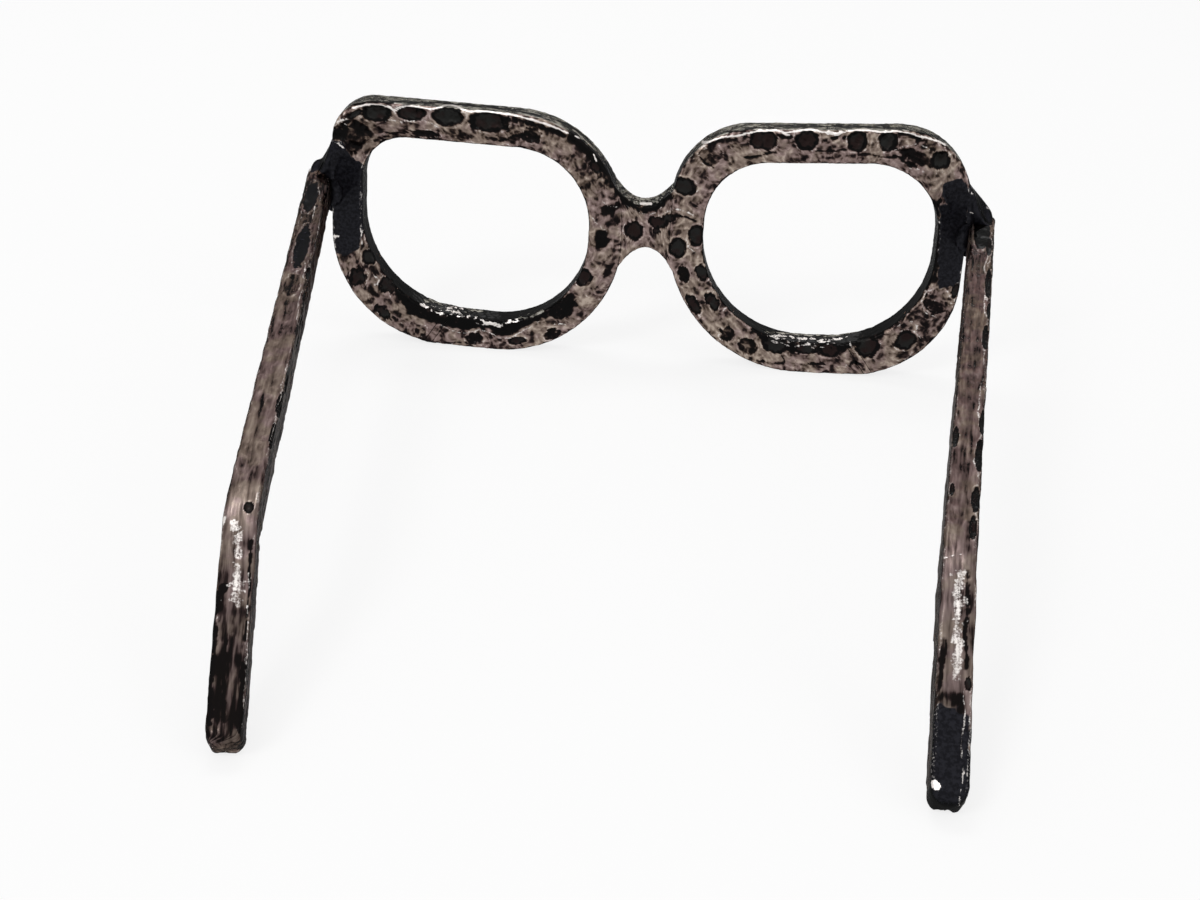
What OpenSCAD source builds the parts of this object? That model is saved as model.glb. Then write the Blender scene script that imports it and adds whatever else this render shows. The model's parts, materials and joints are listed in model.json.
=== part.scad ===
// A pair of glasses at life size, made as sculpture from hammered near-square bar.
// Two bar loops make the rims, a saddle piece joins them, and two bars make the temples.
// Every joint is welded. The glasses stand on the undersides of the rims and on the temple tips.
// X runs to the wearer's right, Y runs forward, Z runs up, and the floor is z = 0.

/* [Rim bar] */
// Width of the rim bar, seen from behind
rim_w = 7.8; // [7:0.1:8.4]
// Width of the left rim's bar along its outer side
left_side_w = 7.1; // [6:0.1:8.4]
// Width of the right rim's bar along its outer side
right_side_w = 6.6; // [6:0.1:8.4]
// Depth of the rim bar, back to front
rim_t = 7; // [5.5:0.1:9]
// How much of each rim's underside is dressed flat to stand on
foot_cut = 0.3; // [0.1:0.05:0.6]

/* [Temple bar] */
// Width of the temple bar at its front end, seen from above
temple_front_w = 5.6; // [5:0.1:7]
// Width of the temple bar from the ear bend on, seen from above
temple_w = 5.8; // [5:0.1:7.4]
// Height of the temple bar, seen from the side
temple_h = 7; // [6:0.1:8]
// Length of the straight part of the left temple, from its front end to the ear bend
left_temple_len = 129.5; // [110:0.5:136]
// Length of the straight part of the right temple, from its front end to the ear bend
right_temple_len = 129; // [110:0.5:136]
// How far the front end of a temple stands back from the front of its rim
temple_set = 0.3; // [0:0.1:1.5]
// Angle by which the left temple turns in towards the right one, in degrees
left_temple_in = 7.2; // [0:0.1:12]
// Angle by which the right temple turns in towards the left one, in degrees
right_temple_in = 9.1; // [0:0.1:12]
// Angle by which the ear part of the left temple turns in, in degrees
left_ear_in = 9; // [0:0.5:12]
// Angle by which the ear part of the right temple turns in, in degrees
right_ear_in = 5; // [0:0.5:12]
// Angle by which the straight part falls, in degrees
temple_fall = 6.3; // [4:0.1:8]
// Angle by which the ear part falls, in degrees
ear_fall = 30.4; // [26:0.2:40]
// Radius of the ear bend, along the middle of the bar
ear_bend_r = 22.5; // [12:0.5:30]
// Rounding of the cut ends of the temples
tip_round = 1.4; // [0.8:0.1:2]
// Height of the middle of a temple's front end above the floor
joint_z = 36.9; // [35:0.1:39]

/* [Left lens opening] */
// Width of the left opening
left_span = 51.8; // [46:0.1:58]
// Height of its nose side, corner to corner
left_nose_h = 42.4; // [40:0.1:46]
// Height of its outer side, corner to corner
left_outer_h = 41.2; // [38:0.1:46]
// How much higher its lower outer corner is than its lower nose corner
left_rise = 2.2; // [0:0.1:4]
// How much further out its lower outer corner is than its upper outer corner
left_lean = 0.8; // [-1:0.1:2]
// Corner radius at the lower nose corner
left_r_low_nose = 20.9; // [16:0.1:23]
// Corner radius at the lower outer corner
left_r_low_outer = 23.7; // [16:0.1:26]
// Corner radius at the upper outer corner
left_r_top_outer = 10; // [6:0.1:12]
// Corner radius at the upper nose corner
left_r_top_nose = 17.5; // [12:0.1:19]
// Radius of the bar's own outer edge at the upper outer corner
left_edge_top_outer = 9.4; // [7:0.1:13]
// Radius of the bar's own outer edge at the lower outer corner
left_edge_low_outer = 26.6; // [22:0.1:29]

/* [Right lens opening] */
// Width of the right opening
right_span = 52.2; // [48:0.1:58]
// Height of its nose side, corner to corner
right_nose_h = 42.7; // [41:0.1:46]
// Height of its outer side, corner to corner
right_outer_h = 43.5; // [40:0.1:47]
// How much higher its lower outer corner is than its lower nose corner
right_rise = 2.5; // [0:0.1:4]
// How much further out its lower outer corner is than its upper outer corner
right_lean = 1.2; // [-1:0.1:2]
// Corner radius at the lower nose corner
right_r_low_nose = 24.8; // [20:0.1:26]
// Corner radius at the lower outer corner
right_r_low_outer = 21.9; // [17:0.1:25]
// Corner radius at the upper outer corner
right_r_top_outer = 16; // [12:0.1:19]
// Corner radius at the upper nose corner
right_r_top_nose = 14.1; // [10:0.1:16]
// Radius of the bar's own outer edge at the upper outer corner
right_edge_top_outer = 16.6; // [13:0.1:20]
// Radius of the bar's own outer edge at the upper nose corner
right_edge_top_nose = 17.7; // [14:0.1:21]
// Radius of the bar's own outer edge at the lower outer corner
right_edge_low_outer = 23.5; // [20:0.1:27]

/* [Bridge] */
// Distance between the two lens openings
nose_gap = 26.3; // [22:0.1:30]
// Height of the middle of the bridge above the floor
bridge_z = 33.1; // [31:0.1:35]
// Height of the bridge bar at its narrowest
bridge_h = 10.2; // [8:0.1:12]
// How far the bridge's roots climb the rims above its top
root_up = 4; // [2:0.1:6]
// How far the bridge's roots run down the rims below its underside
root_down = 5.2; // [3:0.1:7]

/* [Hammering] */
// Softened edge between hammer blows, as a leg along each face
edge_leg = 0.9; // [0.7:0.05:1.1]
// Leg of the edge at the middle of a full blow
dent_leg = 2.2; // [1.5:0.1:2.5]
// Half the length of the mark that a blow leaves along the bar
dent_half = 3.6; // [2.5:0.1:4.5]
// Distance between blows along a rim
rim_pitch = 10.4; // [9:0.1:13]
// Distance between blows along a temple
temple_pitch = 11; // [9:0.1:14]

/* [Welds] */
// Width of the closing seam of each rim
seam_w = 1.6; // [1:0.1:2.4]
// Distance of the seam from the flat bottom stretch of the rim, along the bar
seam_at = 12.7; // [8:0.1:20]
// Crown of a weld bead above the bars
crown = 0.25; // [0.1:0.05:0.4]
// Width of the weld between the back edge of a rim and the inside of its temple
joint_gap = 0.1; // [0.1:0.1:1]
// Leg of the corner bead behind each rim, along the rim and along the temple
bead_leg = 3.2; // [2:0.1:3.4]
// Height of the left fill above the temple, along the rim
left_fill_up = 10.5; // [4:0.5:12]
// Reach of the left fill over the temple, at the top of the cap
left_fill_out = 3; // [1.5:0.1:4]
// Height of the right fill above the temple, along the rim
right_fill_up = 8.4; // [4:0.2:9]
// Reach of the right fill over the temple, at the top of the cap
right_fill_out = 4.2; // [1.5:0.1:4.6]
// Height of the weld's cap over the front end of each temple
cap_h = 1.6; // [0.5:0.1:2]
// Depth of the fill under each temple, along the rim
under_down = 4; // [1:0.2:5]
// Reach of the fill under each temple, out from the rim
under_out = 2; // [0.6:0.1:3]

/* [Hidden] */

ring_step = 1.5;         // spacing of the cross-sections along a rim
temple_step = 1.7;       // spacing of the cross-sections along a temple
soft_mid = 0.3;          // middle of a softened edge, as a share of its leg
dent_mid = 0.62;         // middle of a hammered edge, as a share of its leg
quiet_up = 9;            // the ground zone beside a temple joint reaches this far up and down
quiet_back = 4;          // and this far back along the temple
root_clear = 2;          // no blow lands this close to the bridge's roots
bronze = "#6f635c";
dark_bronze = "#564b46";
weld_black = "#2d2b2e";

LEFT = [
    -1, left_span, left_nose_h, left_outer_h, left_rise, left_lean,
    [left_r_low_nose, left_r_low_outer, left_r_top_outer, left_r_top_nose],
    [left_r_low_nose + rim_w, left_edge_low_outer, left_edge_top_outer, left_r_top_nose + rim_w],
    left_side_w
];
RIGHT = [
    1, right_span, right_nose_h, right_outer_h, right_rise, right_lean,
    [right_r_low_nose, right_r_low_outer, right_r_top_outer, right_r_top_nose],
    [right_r_low_nose + rim_w, right_edge_low_outer, right_edge_top_outer, right_edge_top_nose],
    right_side_w
];

// Small vector helpers
function unit(v) = v / norm(v);
function left_of(v) = [-v[1], v[0]];
function heading(v) = atan2(v[1], v[0]);
function sum(v, i = 0) = i < len(v) - 1 ? v[i] + sum(v, i + 1) : v[i];
function sums(v) = [for (i = 0, s = 0; i <= len(v); s = s + (i < len(v) ? v[i] : 0), i = i + 1) s];
function mean_sin(p, q) = abs(q - p) < 0.01 ? sin(p) : (cos(p) - cos(q)) / ((q - p) * PI / 180);

// An outline is four corners, counter-clockwise, with a radius each.
// Its stretches are numbered 0 to 7: an even one is the arc at a corner, an odd one the side after it.
function side_dir(c, i) = unit(c[(i + 1) % 4] - c[i % 4]);
function turn_at(c, i) = (heading(side_dir(c, i)) - heading(side_dir(c, i + 3)) + 720) % 360;
function cut_back(c, r, i) = r[i % 4] * tan(turn_at(c, i) / 2);
function arc_centre(c, r, i) = c[i] + side_dir(c, i) * cut_back(c, r, i) + left_of(side_dir(c, i)) * r[i];
function stretch_len(c, r, e) =
    let (i = floor(e / 2))
    e % 2 == 0 ? r[i] * turn_at(c, i) * PI / 180
               : norm(c[(i + 1) % 4] - c[i]) - cut_back(c, r, i) - cut_back(c, r, i + 1);
function on_stretch(c, r, e, f) =
    let (i = floor(e / 2), d = side_dir(c, i))
    e % 2 == 1 ? c[i] + d * (cut_back(c, r, i) + f * stretch_len(c, r, e))
               : let (a = heading(side_dir(c, i + 3)) - 90 + f * turn_at(c, i))
                 arc_centre(c, r, i) + r[i] * [cos(a), sin(a)];

// Corners of a lens opening in [distance from the middle, height], lower nose corner first
function opening(rim) =
    let (u = nose_gap / 2, v = u + rim[1])
    [[u, 0], [v + rim[5], rim[4]], [v, rim[4] + rim[3]], [u, rim[2]]];
function width_of(rim, i) = i % 4 == 1 ? rim[8] : rim_w;
function grown(rim, c) = [
    for (i = [0:3])
        let (
            a = -left_of(side_dir(c, i + 3)),
            b = -left_of(side_dir(c, i)),
            k = a * b,
            p = width_of(rim, i + 3),
            q = width_of(rim, i)
        )
        c[i] + (a * (p - q * k) + b * (q - p * k)) / (1 - k * k)
];

// The bar's two faces in the plane of the rim, walked by distance along its middle
function mid_lens(rim) =
    let (a = opening(rim), b = grown(rim, a))
    [for (e = [0:7]) (stretch_len(a, rim[6], e) + stretch_len(b, rim[7], e)) / 2];
function loop_len(rim) = sum(mid_lens(rim));
function pair_at(rim, s) =
    let (
        a = opening(rim),
        b = grown(rim, a),
        lens = mid_lens(rim),
        ends = sums(lens),
        q = (s + 2 * ends[8]) % ends[8],
        e = [for (k = [0:7]) if (q >= ends[k] && q < ends[k + 1]) k][0],
        f = (q - ends[e]) / lens[e]
    )
    [on_stretch(a, rim[6], e, f), on_stretch(b, rim[7], e, f)];

// Cross-sections of a rim from one side of its seam round to the other: [distance, inside, outside]
function seam_s(rim) = mid_lens(rim)[0] + seam_at;
function raw_rings(rim) =
    let (run = loop_len(rim) - seam_w, n = round(run / ring_step), s0 = seam_s(rim) + seam_w / 2)
    [for (i = [0:n]) let (s = s0 + run * i / n) concat([s], pair_at(rim, s))];
function lift(rings) = [0, -min([for (r = rings) r[2][1]]) - foot_cut];
function rings_of(rim) =
    let (raw = raw_rings(rim), up = lift(raw))
    [for (r = raw) [r[0], r[1] + up, r[2] + up]];

left_rings = rings_of(LEFT);
right_rings = rings_of(RIGHT);

// Where the outside of a rim lies beside its temple joint
function joint_side(rings) =
    max([for (r = rings) if (abs(r[2][1] - joint_z) < temple_h / 2) r[2][0]]);
left_side = joint_side(left_rings);
right_side = joint_side(right_rings);
function outer_u(rim) = rim[0] < 0 ? left_side : right_side;

// Strength of a hammer blow at distance s on edge k of a bar, from 0 to 1
function force(i, k) = 0.72 + 0.28 * sin(137 * i + 71 * k);
function blow(s, k, pitch) =
    let (q = s / pitch + k * 0.37, i = round(q), x = (q - i) * pitch / dent_half)
    abs(x) < 1 ? (1 - x * x) * force(i, k) : 0;
function leg_of(b) = edge_leg + (dent_leg - edge_leg) * b;
function mid_of(b) = soft_mid + (dent_mid - soft_mid) * b;

// A bar's section has four edges, each with three points; edge legs vary with the blows.
// Corner [p, q] of the section has its edge drawn in towards the middle by a leg along each face.
function edge3(p, q, along, across, b) =
    let (l = leg_of(b), m = mid_of(b))
    [[p, q] + along * l, [p, q] + (along + across) * l * m, [p, q] + across * l];
function bar_section(w, t, b) = concat(
    edge3(0, 0, [0, 1], [1, 0], b[0]),
    edge3(w, 0, [-1, 0], [0, 1], b[1]),
    edge3(w, t, [0, -1], [-1, 0], b[2]),
    edge3(0, t, [1, 0], [0, -1], b[3])
);

// Where no blow lands: beside the temple joint, where the bar is ground smooth, and at the bridge
function quiet(rim, p) =
    (p[0] > outer_u(rim) - edge_leg && abs(p[1] - joint_z) < quiet_up)
    || (p[0] < nose_gap / 2 && p[1] > bridge_low - root_clear && p[1] < bridge_high + root_clear);
bridge_high = bridge_z + bridge_h / 2 + root_up;
bridge_low = bridge_z - bridge_h / 2 - root_down;

// One cross-section of a rim in space, standing on the floor
function place(side, p, y) = [side * p[0] + mid_x, y + back_y, max(0, p[1])];
function rim_ring(rim, r, b) =
    let (d = unit(r[2] - r[1]), w = norm(r[2] - r[1]))
    [for (q = bar_section(w, rim_t, b)) place(rim[0], r[1] + d * q[0], q[1])];
function rim_blows(rim, r) =
    [for (k = [0:3]) quiet(rim, r[2]) ? 0 : blow(r[0], k, rim_pitch)];

// A solid through a list of rings with the same number of points.
// Each end is closed by triangles round a hub in its middle.
module skin(rings, flip = false) {
    n = len(rings[0]);
    last = len(rings) - 1;
    hub = len(rings) * n;
    walls = [
        for (i = [0:last - 1], j = [0:n - 1])
            let (a = i * n + j, b = i * n + (j + 1) % n)
            each [[a, b, b + n], [a, b + n, a + n]]
    ];
    ends = [
        for (j = [0:n - 1])
            let (k = (j + 1) % n)
            each [[hub, k, j], [hub + 1, last * n + j, last * n + k]]
    ];
    faces = concat(walls, ends);
    turned = [for (f = faces) [f[2], f[1], f[0]]];
    points = concat([for (r = rings) each r], [sum(rings[0]) / n, sum(rings[last]) / n]);
    polyhedron(points = points, faces = flip ? turned : faces, convexity = 10);
}

module rim_bar(rim, rings) {
    skin([for (r = rings) rim_ring(rim, r, rim_blows(rim, r))], rim[0] > 0);
}

// The weld that closes a loop fills the gap between its two ends and stands a little proud
module seam(rim, rings) {
    last = len(rings) - 1;
    up = lift(raw_rings(rim));
    raw = pair_at(rim, seam_s(rim));
    mid = [raw[0] + up, raw[1] + up];
    d = unit(mid[1] - mid[0]);
    proud = [0, mid[0] - d * crown, mid[1] + d * crown];
    crowned = [
        for (p = rim_ring(rim, proud, [0, 0, 0, 0]))
            let (y = p[1] - back_y)
            [p[0], back_y - crown + y * (rim_t + 2 * crown) / rim_t, p[2]]
    ];
    skin(
        [
            rim_ring(rim, rings[last], rim_blows(rim, rings[last])),
            crowned,
            rim_ring(rim, rings[0], rim_blows(rim, rings[0]))
        ],
        rim[0] > 0
    );
}

// Cross-sections of a rim that the bridge's root meets, from the underside up
function root(rings) =
    let (met = [
        for (r = rings)
            if (r[2][0] < nose_gap / 2 && r[2][1] > bridge_low && r[2][1] < bridge_high) r
    ])
    met[0][2][1] < met[1][2][1] ? met : [for (i = [len(met) - 1:-1:0]) met[i]];
left_root = root(left_rings);
right_root = root(right_rings);

// A point of a root, on the outside of the rim bar and drawn back from it
function root_point(side, r, back) =
    let (p = r[2] + unit(r[2] - r[1]) * back)
    [side * p[0] + mid_x, p[1]];

// Upper or lower curve of the saddle, from one root to the other
curve_steps = 8;
function saddle(a, b, mid_z) = [
    for (i = [1:curve_steps - 1])
        let (f = i / curve_steps, x = 2 * f - 1)
        [a[0] + (b[0] - a[0]) * f, mid_z + ((x < 0 ? a[1] : b[1]) - mid_z) * x * x]
];

// Outline of the saddle at a layer that is drawn in by a given amount all round
function saddle_outline(back) =
    let (
        l = [for (r = left_root) root_point(-1, r, back)],
        r = [for (r = right_root) root_point(1, r, back)],
        low = saddle(l[0], r[0], bridge_z - bridge_h / 2 + back),
        top = saddle(r[len(r) - 1], l[len(l) - 1], bridge_z + bridge_h / 2 - back)
    )
    concat(low, r, top, [for (i = [len(l) - 1:-1:0]) l[i]]);

module saddle_bridge() {
    layers = [
        [0, edge_leg], [edge_leg * soft_mid, edge_leg * soft_mid], [edge_leg, 0],
        [rim_t - edge_leg, 0], [rim_t - edge_leg * soft_mid, edge_leg * soft_mid], [rim_t, edge_leg]
    ];
    skin([for (y = layers) [for (p = saddle_outline(y[1])) [p[0], y[0] + back_y, p[1]]]]);
}

// One bead in the groove between a rim and the bridge, on the back or on the front
module groove_bead(side, root_rings, front) {
    inner = [for (i = [1:len(root_rings) - 2]) root_rings[i]];
    l = edge_leg;
    m = edge_leg * soft_mid;
    section = [[-l, 0], [-m, m], [0, l], [m, m], [l, 0], [0, -crown]];
    rings = [
        for (r = inner) [
            for (q = section)
                let (p = root_point(side, r, q[0]), y = front ? rim_t - q[1] : q[1])
                [p[0], y + back_y, p[1]]
        ]
    ];
    skin(rings, front ? side < 0 : side > 0);
}

module bridge_weld(side, root_rings) {
    groove_bead(side, root_rings, false);
    groove_bead(side, root_rings, true);
}

// The temple's run: a straight part that falls and turns in from its front end, the ear bend, the ear.
// A run is [side, turn-in of the straight part, turn-in of the ear, where each part starts and ends].
ear_bend = ear_bend_r * (ear_fall - temple_fall) * PI / 180;
half_h = temple_h / 2;
function run_of(side, len, turn_in, ear_in) =
    let (
        left_to_drop = joint_z + foot_cut - half_h * cos(ear_fall)
            - len * sin(temple_fall) - ear_bend * mean_sin(temple_fall, ear_fall),
        ear_len = left_to_drop / sin(ear_fall) + tip_round
    )
    [side, turn_in, ear_in, sums([len, ear_bend, ear_len])];
left_run = run_of(-1, left_temple_len, left_temple_in, left_ear_in);
right_run = run_of(1, right_temple_len, right_temple_in, right_ear_in);
function along_bend(run, s) = max(0, min(1, (s - run[3][1]) / (run[3][2] - run[3][1])));
function fall_at(run, s) = temple_fall + (ear_fall - temple_fall) * along_bend(run, s);
function turn_in_at(run, s) = run[1] + (run[2] - run[1]) * along_bend(run, s);
function width_at(run, s) = temple_front_w + (temple_w - temple_front_w) * min(1, s / run[3][1]);
function way(run, s) =
    let (a = turn_in_at(run, s), p = fall_at(run, s))
    [-run[0] * sin(a) * cos(p), -cos(a) * cos(p), -sin(p)];
function out_dir(run, s) = [run[0] * cos(turn_in_at(run, s)), -sin(turn_in_at(run, s)), 0];
function up_dir(run, s) =
    let (a = turn_in_at(run, s), p = fall_at(run, s))
    [-run[0] * sin(a) * sin(p), -cos(a) * sin(p), cos(p)];

// Stations along a run: closer together at the two cut ends, and even in between
function stations(run) =
    let (end = run[3][3], n = round(end / temple_step), b = end - tip_round)
    concat([0, tip_round / 3, tip_round],
           [for (i = [1:n - 1]) tip_round + (b - tip_round) * i / n],
           [b, end - tip_round / 3, end]);
function middle_line(run, st, start) = [
    for (i = 0, p = start; i < len(st);
         p = p + (i + 1 < len(st) ? (st[i + 1] - st[i]) * way(run, (st[i] + st[i + 1]) / 2) : [0, 0, 0]),
         i = i + 1)
        p
];
// How far the bar is drawn in at station s near a cut end, on a quarter circle
function drawn_in(run, s) =
    let (d = min(s, run[3][3] - s))
    d >= tip_round ? 0 : tip_round - sqrt(tip_round * tip_round - (tip_round - d) * (tip_round - d));

// Where the inside of a temple lies at a distance y in front of the rim's back, from the nose's middle
function inside_u(rim, run, y) = outer_u(rim) + joint_gap + y * tan(run[1]);
front_y = rim_t - temple_set;
function start_of(rim, run) =
    [run[0] * (inside_u(rim, run, front_y) + temple_front_w / 2 / cos(run[1])), front_y, joint_z];

// How far a temple reaches in a direction
function reach(rim, run, dir) =
    let (st = stations(run), line = middle_line(run, st, start_of(rim, run)))
    max([
        for (i = [0:len(st) - 1])
            let (g = drawn_in(run, st[i]))
            line[i] * dir + (width_at(run, st[i]) / 2 - g) * abs(out_dir(run, st[i]) * dir)
                + (half_h - g) * abs(up_dir(run, st[i]) * dir)
    ]);

// The origin lies under the middle of the whole: the rims' backs stand at back_y, the nose's middle at mid_x
rear_reach = max(reach(LEFT, left_run, [0, -1, 0]), reach(RIGHT, right_run, [0, -1, 0]));
front_reach = max(rim_t + crown, reach(LEFT, left_run, [0, 1, 0]), reach(RIGHT, right_run, [0, 1, 0]));
back_y = (rear_reach - front_reach) / 2;
mid_x = (reach(LEFT, left_run, [-1, 0, 0]) - reach(RIGHT, right_run, [1, 0, 0])) / 2;

function temple_blows(run, s) = [
    for (k = [0:3])
        s < rim_t + quiet_back || s > run[3][3] - 2 * dent_half
            ? 0 : blow(s, k, temple_pitch)
];
function temple_ring(run, c, s) =
    let (
        g = drawn_in(run, s),
        w = width_at(run, s) - 2 * g,
        h = temple_h - 2 * g,
        o = out_dir(run, s),
        u = up_dir(run, s)
    )
    [
        for (q = bar_section(w, h, temple_blows(run, s)))
            let (p = c + o * (q[0] - w / 2) + u * (q[1] - h / 2))
            [p[0] + mid_x, p[1] + back_y, max(0, p[2])]
    ];

module temple(rim, run) {
    st = stations(run);
    line = middle_line(run, st, start_of(rim, run));
    skin([for (i = [0:len(st) - 1]) temple_ring(run, line[i], st[i])], run[0] > 0);
}

// The weld between a rim and its temple: a wedge between their sides, and a boat-shaped bead behind
bead_steps = 10;
function temple_z(y) = joint_z - (front_y - y) * tan(temple_fall);
module side_wedge(rim, run) {
    half = half_h - edge_leg;
    u = outer_u(rim);
    rings = [
        for (y = [edge_leg, front_y - edge_leg])
            let (v = inside_u(rim, run, y), z = temple_z(y))
            [
                for (q = [[u, z - half], [v, z - half], [v, z + half], [u, z + half]])
                    [rim[0] * q[0] + mid_x, y + back_y, q[1]]
            ]
    ];
    skin(rings, rim[0] < 0);
}
module corner_weld(rim, run, rim_rings) {
    half = half_h - edge_leg;
    section = [[0, 0], [1, 0], [0.62, 0.25], [0.25, 0.62], [0, 1]];
    rings = [
        for (i = [0:bead_steps])
            let (x = 2 * i / bead_steps - 1, l = bead_leg * (0.45 + 0.55 * sqrt(1 - x * x)))
            [
                for (q = section)
                    let (u = inside_u(rim, run, 0) - l * (q[0] + q[1] * sin(run[1])))
                    [rim[0] * u + mid_x, back_y - l * q[1] * cos(run[1]), temple_z(0) + half * x]
            ]
    ];
    skin(rings, rim[0] > 0);
    side_wedge(rim, run);
    under = joint_z - half_h / cos(temple_fall);
    fill(rim, rim_rings, under, -under_down, [[outer_u(rim) + under_out, under]]);
}

// A weld fill between a rim's outside and its temple, on the rim's own curve.
// It starts at height low and runs by a rise along the rim; the rest of its outline is given.
function rim_curve(rings, u, low, rise) =
    let (met = [
        for (r = rings)
            if (r[2][0] > u - abs(rise) && (r[2][1] - low) * sign(rise) > 0 && abs(r[2][1] - low) < abs(rise)) r[2]
    ])
    abs(met[0][1] - low) < abs(met[1][1] - low) ? met : [for (i = [len(met) - 1:-1:0]) met[i]];
module fill(rim, rings, low, rise, rest) {
    u = outer_u(rim);
    outline = concat([[u, low]], rim_curve(rings, u, low, rise), rest);
    layers = [
        for (y = [edge_leg, front_y - edge_leg])
            [
                for (p = outline)
                    [rim[0] * p[0] + mid_x, y + back_y, p[1] - (p[1] == low ? joint_z - temple_z(y) : 0)]
            ]
    ];
    skin(layers, rim[0] * rise > 0);
}

// The fill on top of a temple ends in a cap over the temple's front end
module top_weld(rim, run, rings, fill_up, fill_out) {
    low = joint_z + half_h / cos(temple_fall);
    cap_u = inside_u(rim, run, 0) + temple_front_w - edge_leg * soft_mid;
    fill(rim, rings, low, fill_up, [
        [outer_u(rim) + fill_out, low + cap_h],
        [cap_u - cap_h * dent_mid, low + cap_h * (1 - soft_mid / 2)],
        [cap_u, low + cap_h * soft_mid],
        [cap_u, low]
    ]);
}

module left_rim() { color(bronze) rim_bar(LEFT, left_rings); }
module right_rim() { color(bronze) rim_bar(RIGHT, right_rings); }
module left_rim_seam() { color(dark_bronze) seam(LEFT, left_rings); }
module right_rim_seam() { color(dark_bronze) seam(RIGHT, right_rings); }
module bridge() { color(bronze) saddle_bridge(); }
module left_bridge_weld() { color(dark_bronze) bridge_weld(-1, left_root); }
module right_bridge_weld() { color(dark_bronze) bridge_weld(1, right_root); }
module left_temple() { color(bronze) temple(LEFT, left_run); }
module right_temple() { color(bronze) temple(RIGHT, right_run); }
module left_corner_weld() { color(weld_black) corner_weld(LEFT, left_run, left_rings); }
module right_corner_weld() { color(weld_black) corner_weld(RIGHT, right_run, right_rings); }
module left_top_weld() { color(weld_black) top_weld(LEFT, left_run, left_rings, left_fill_up, left_fill_out); }
module right_top_weld() { color(weld_black) top_weld(RIGHT, right_run, right_rings, right_fill_up, right_fill_out); }

left_rim();
right_rim();
left_rim_seam();
right_rim_seam();
bridge();
left_bridge_weld();
right_bridge_weld();
left_temple();
right_temple();
left_corner_weld();
right_corner_weld();
left_top_weld();
right_top_weld();
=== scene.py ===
"""A pair of glasses made as sculpture from hammered, blackened and rubbed steel bar.

The sizes are those of the solid model, in millimetres; the scene itself is in metres.
X runs to the wearer's right, Y the way the glasses face, Z up, and the floor is z = 0.
"""

from __future__ import annotations

import json
import logging
import math
from dataclasses import dataclass
from enum import Enum
from typing import Any, Iterable, Sequence

import bpy
import numpy as np
from mathutils import Matrix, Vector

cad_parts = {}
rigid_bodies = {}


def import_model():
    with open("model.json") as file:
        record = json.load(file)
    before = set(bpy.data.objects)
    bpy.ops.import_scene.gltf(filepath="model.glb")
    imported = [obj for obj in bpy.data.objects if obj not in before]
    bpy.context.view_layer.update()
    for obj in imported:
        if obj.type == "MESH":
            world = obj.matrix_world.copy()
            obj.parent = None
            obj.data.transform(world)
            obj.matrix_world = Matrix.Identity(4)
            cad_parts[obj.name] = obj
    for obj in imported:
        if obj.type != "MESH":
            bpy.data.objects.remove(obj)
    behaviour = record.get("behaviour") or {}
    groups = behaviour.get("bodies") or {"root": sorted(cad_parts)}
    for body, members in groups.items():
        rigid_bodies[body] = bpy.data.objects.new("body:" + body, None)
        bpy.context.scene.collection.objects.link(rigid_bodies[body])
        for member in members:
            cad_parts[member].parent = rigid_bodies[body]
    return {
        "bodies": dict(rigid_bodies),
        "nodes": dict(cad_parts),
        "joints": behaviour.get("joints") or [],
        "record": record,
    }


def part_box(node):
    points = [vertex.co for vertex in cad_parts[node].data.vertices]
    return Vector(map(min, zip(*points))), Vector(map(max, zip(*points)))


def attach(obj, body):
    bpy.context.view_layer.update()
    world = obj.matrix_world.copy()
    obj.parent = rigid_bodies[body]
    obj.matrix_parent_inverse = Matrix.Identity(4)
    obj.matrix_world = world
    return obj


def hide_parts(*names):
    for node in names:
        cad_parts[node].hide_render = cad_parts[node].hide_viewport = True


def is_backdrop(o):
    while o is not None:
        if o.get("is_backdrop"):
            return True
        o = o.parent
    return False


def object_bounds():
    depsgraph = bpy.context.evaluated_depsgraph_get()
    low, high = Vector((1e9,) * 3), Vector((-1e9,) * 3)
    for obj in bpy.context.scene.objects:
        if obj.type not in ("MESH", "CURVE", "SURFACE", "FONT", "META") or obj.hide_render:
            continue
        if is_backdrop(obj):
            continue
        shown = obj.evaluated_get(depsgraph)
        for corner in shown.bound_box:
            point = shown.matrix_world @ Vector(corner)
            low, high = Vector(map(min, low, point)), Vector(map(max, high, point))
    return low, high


LOG = logging.getLogger("glasses")
Array = np.ndarray
MM = 0.001
BODY = "root"
# Relief along a bar is this much shorter in the random field than on the bar
DRAWN_OUT = 0.3
# How far a wholly ragged line strays from its path, in the photograph's pixels
DRIFT_PX = 2.2
# How bright the lip round a print is rubbed
LIP_SHINE = 0.36
# Edges of the mesh that turn by more than this stay sharp
SHARP_DEG = 62.0
# A face counts as a bar's side from the first of these turns away from front and back, and
# wholly from the second
SIDE_FROM, SIDE_TO = 0.55, 0.9
# How much less a side is crumpled
SIDE_CALM = 0.6


def linear(hex_colour: str) -> tuple[float, float, float, float]:
    """Turn an sRGB hex colour into the linear values that Blender's sockets take.

    Args:
        hex_colour: six hex digits after a hash sign.

    Returns:
        Red, green, blue and an alpha of 1.
    """
    parts = [int(hex_colour[i : i + 2], 16) / 255 for i in (1, 3, 5)]
    toned = [c / 12.92 if c <= 0.04045 else ((c + 0.055) / 1.055) ** 2.4 for c in parts]
    return (*toned, 1.0)


def unit(vectors: Array) -> Array:
    """Scale vectors to length one."""
    lengths = np.linalg.norm(vectors, axis=-1, keepdims=True)
    return vectors / np.maximum(lengths, 1e-12)


def ramp(values: Array, low: float, high: float) -> Array:
    """Rise smoothly from 0 at low to 1 at high."""
    t = np.clip((values - low) / (high - low), 0.0, 1.0)
    return t * t * (3 - 2 * t)


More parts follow.
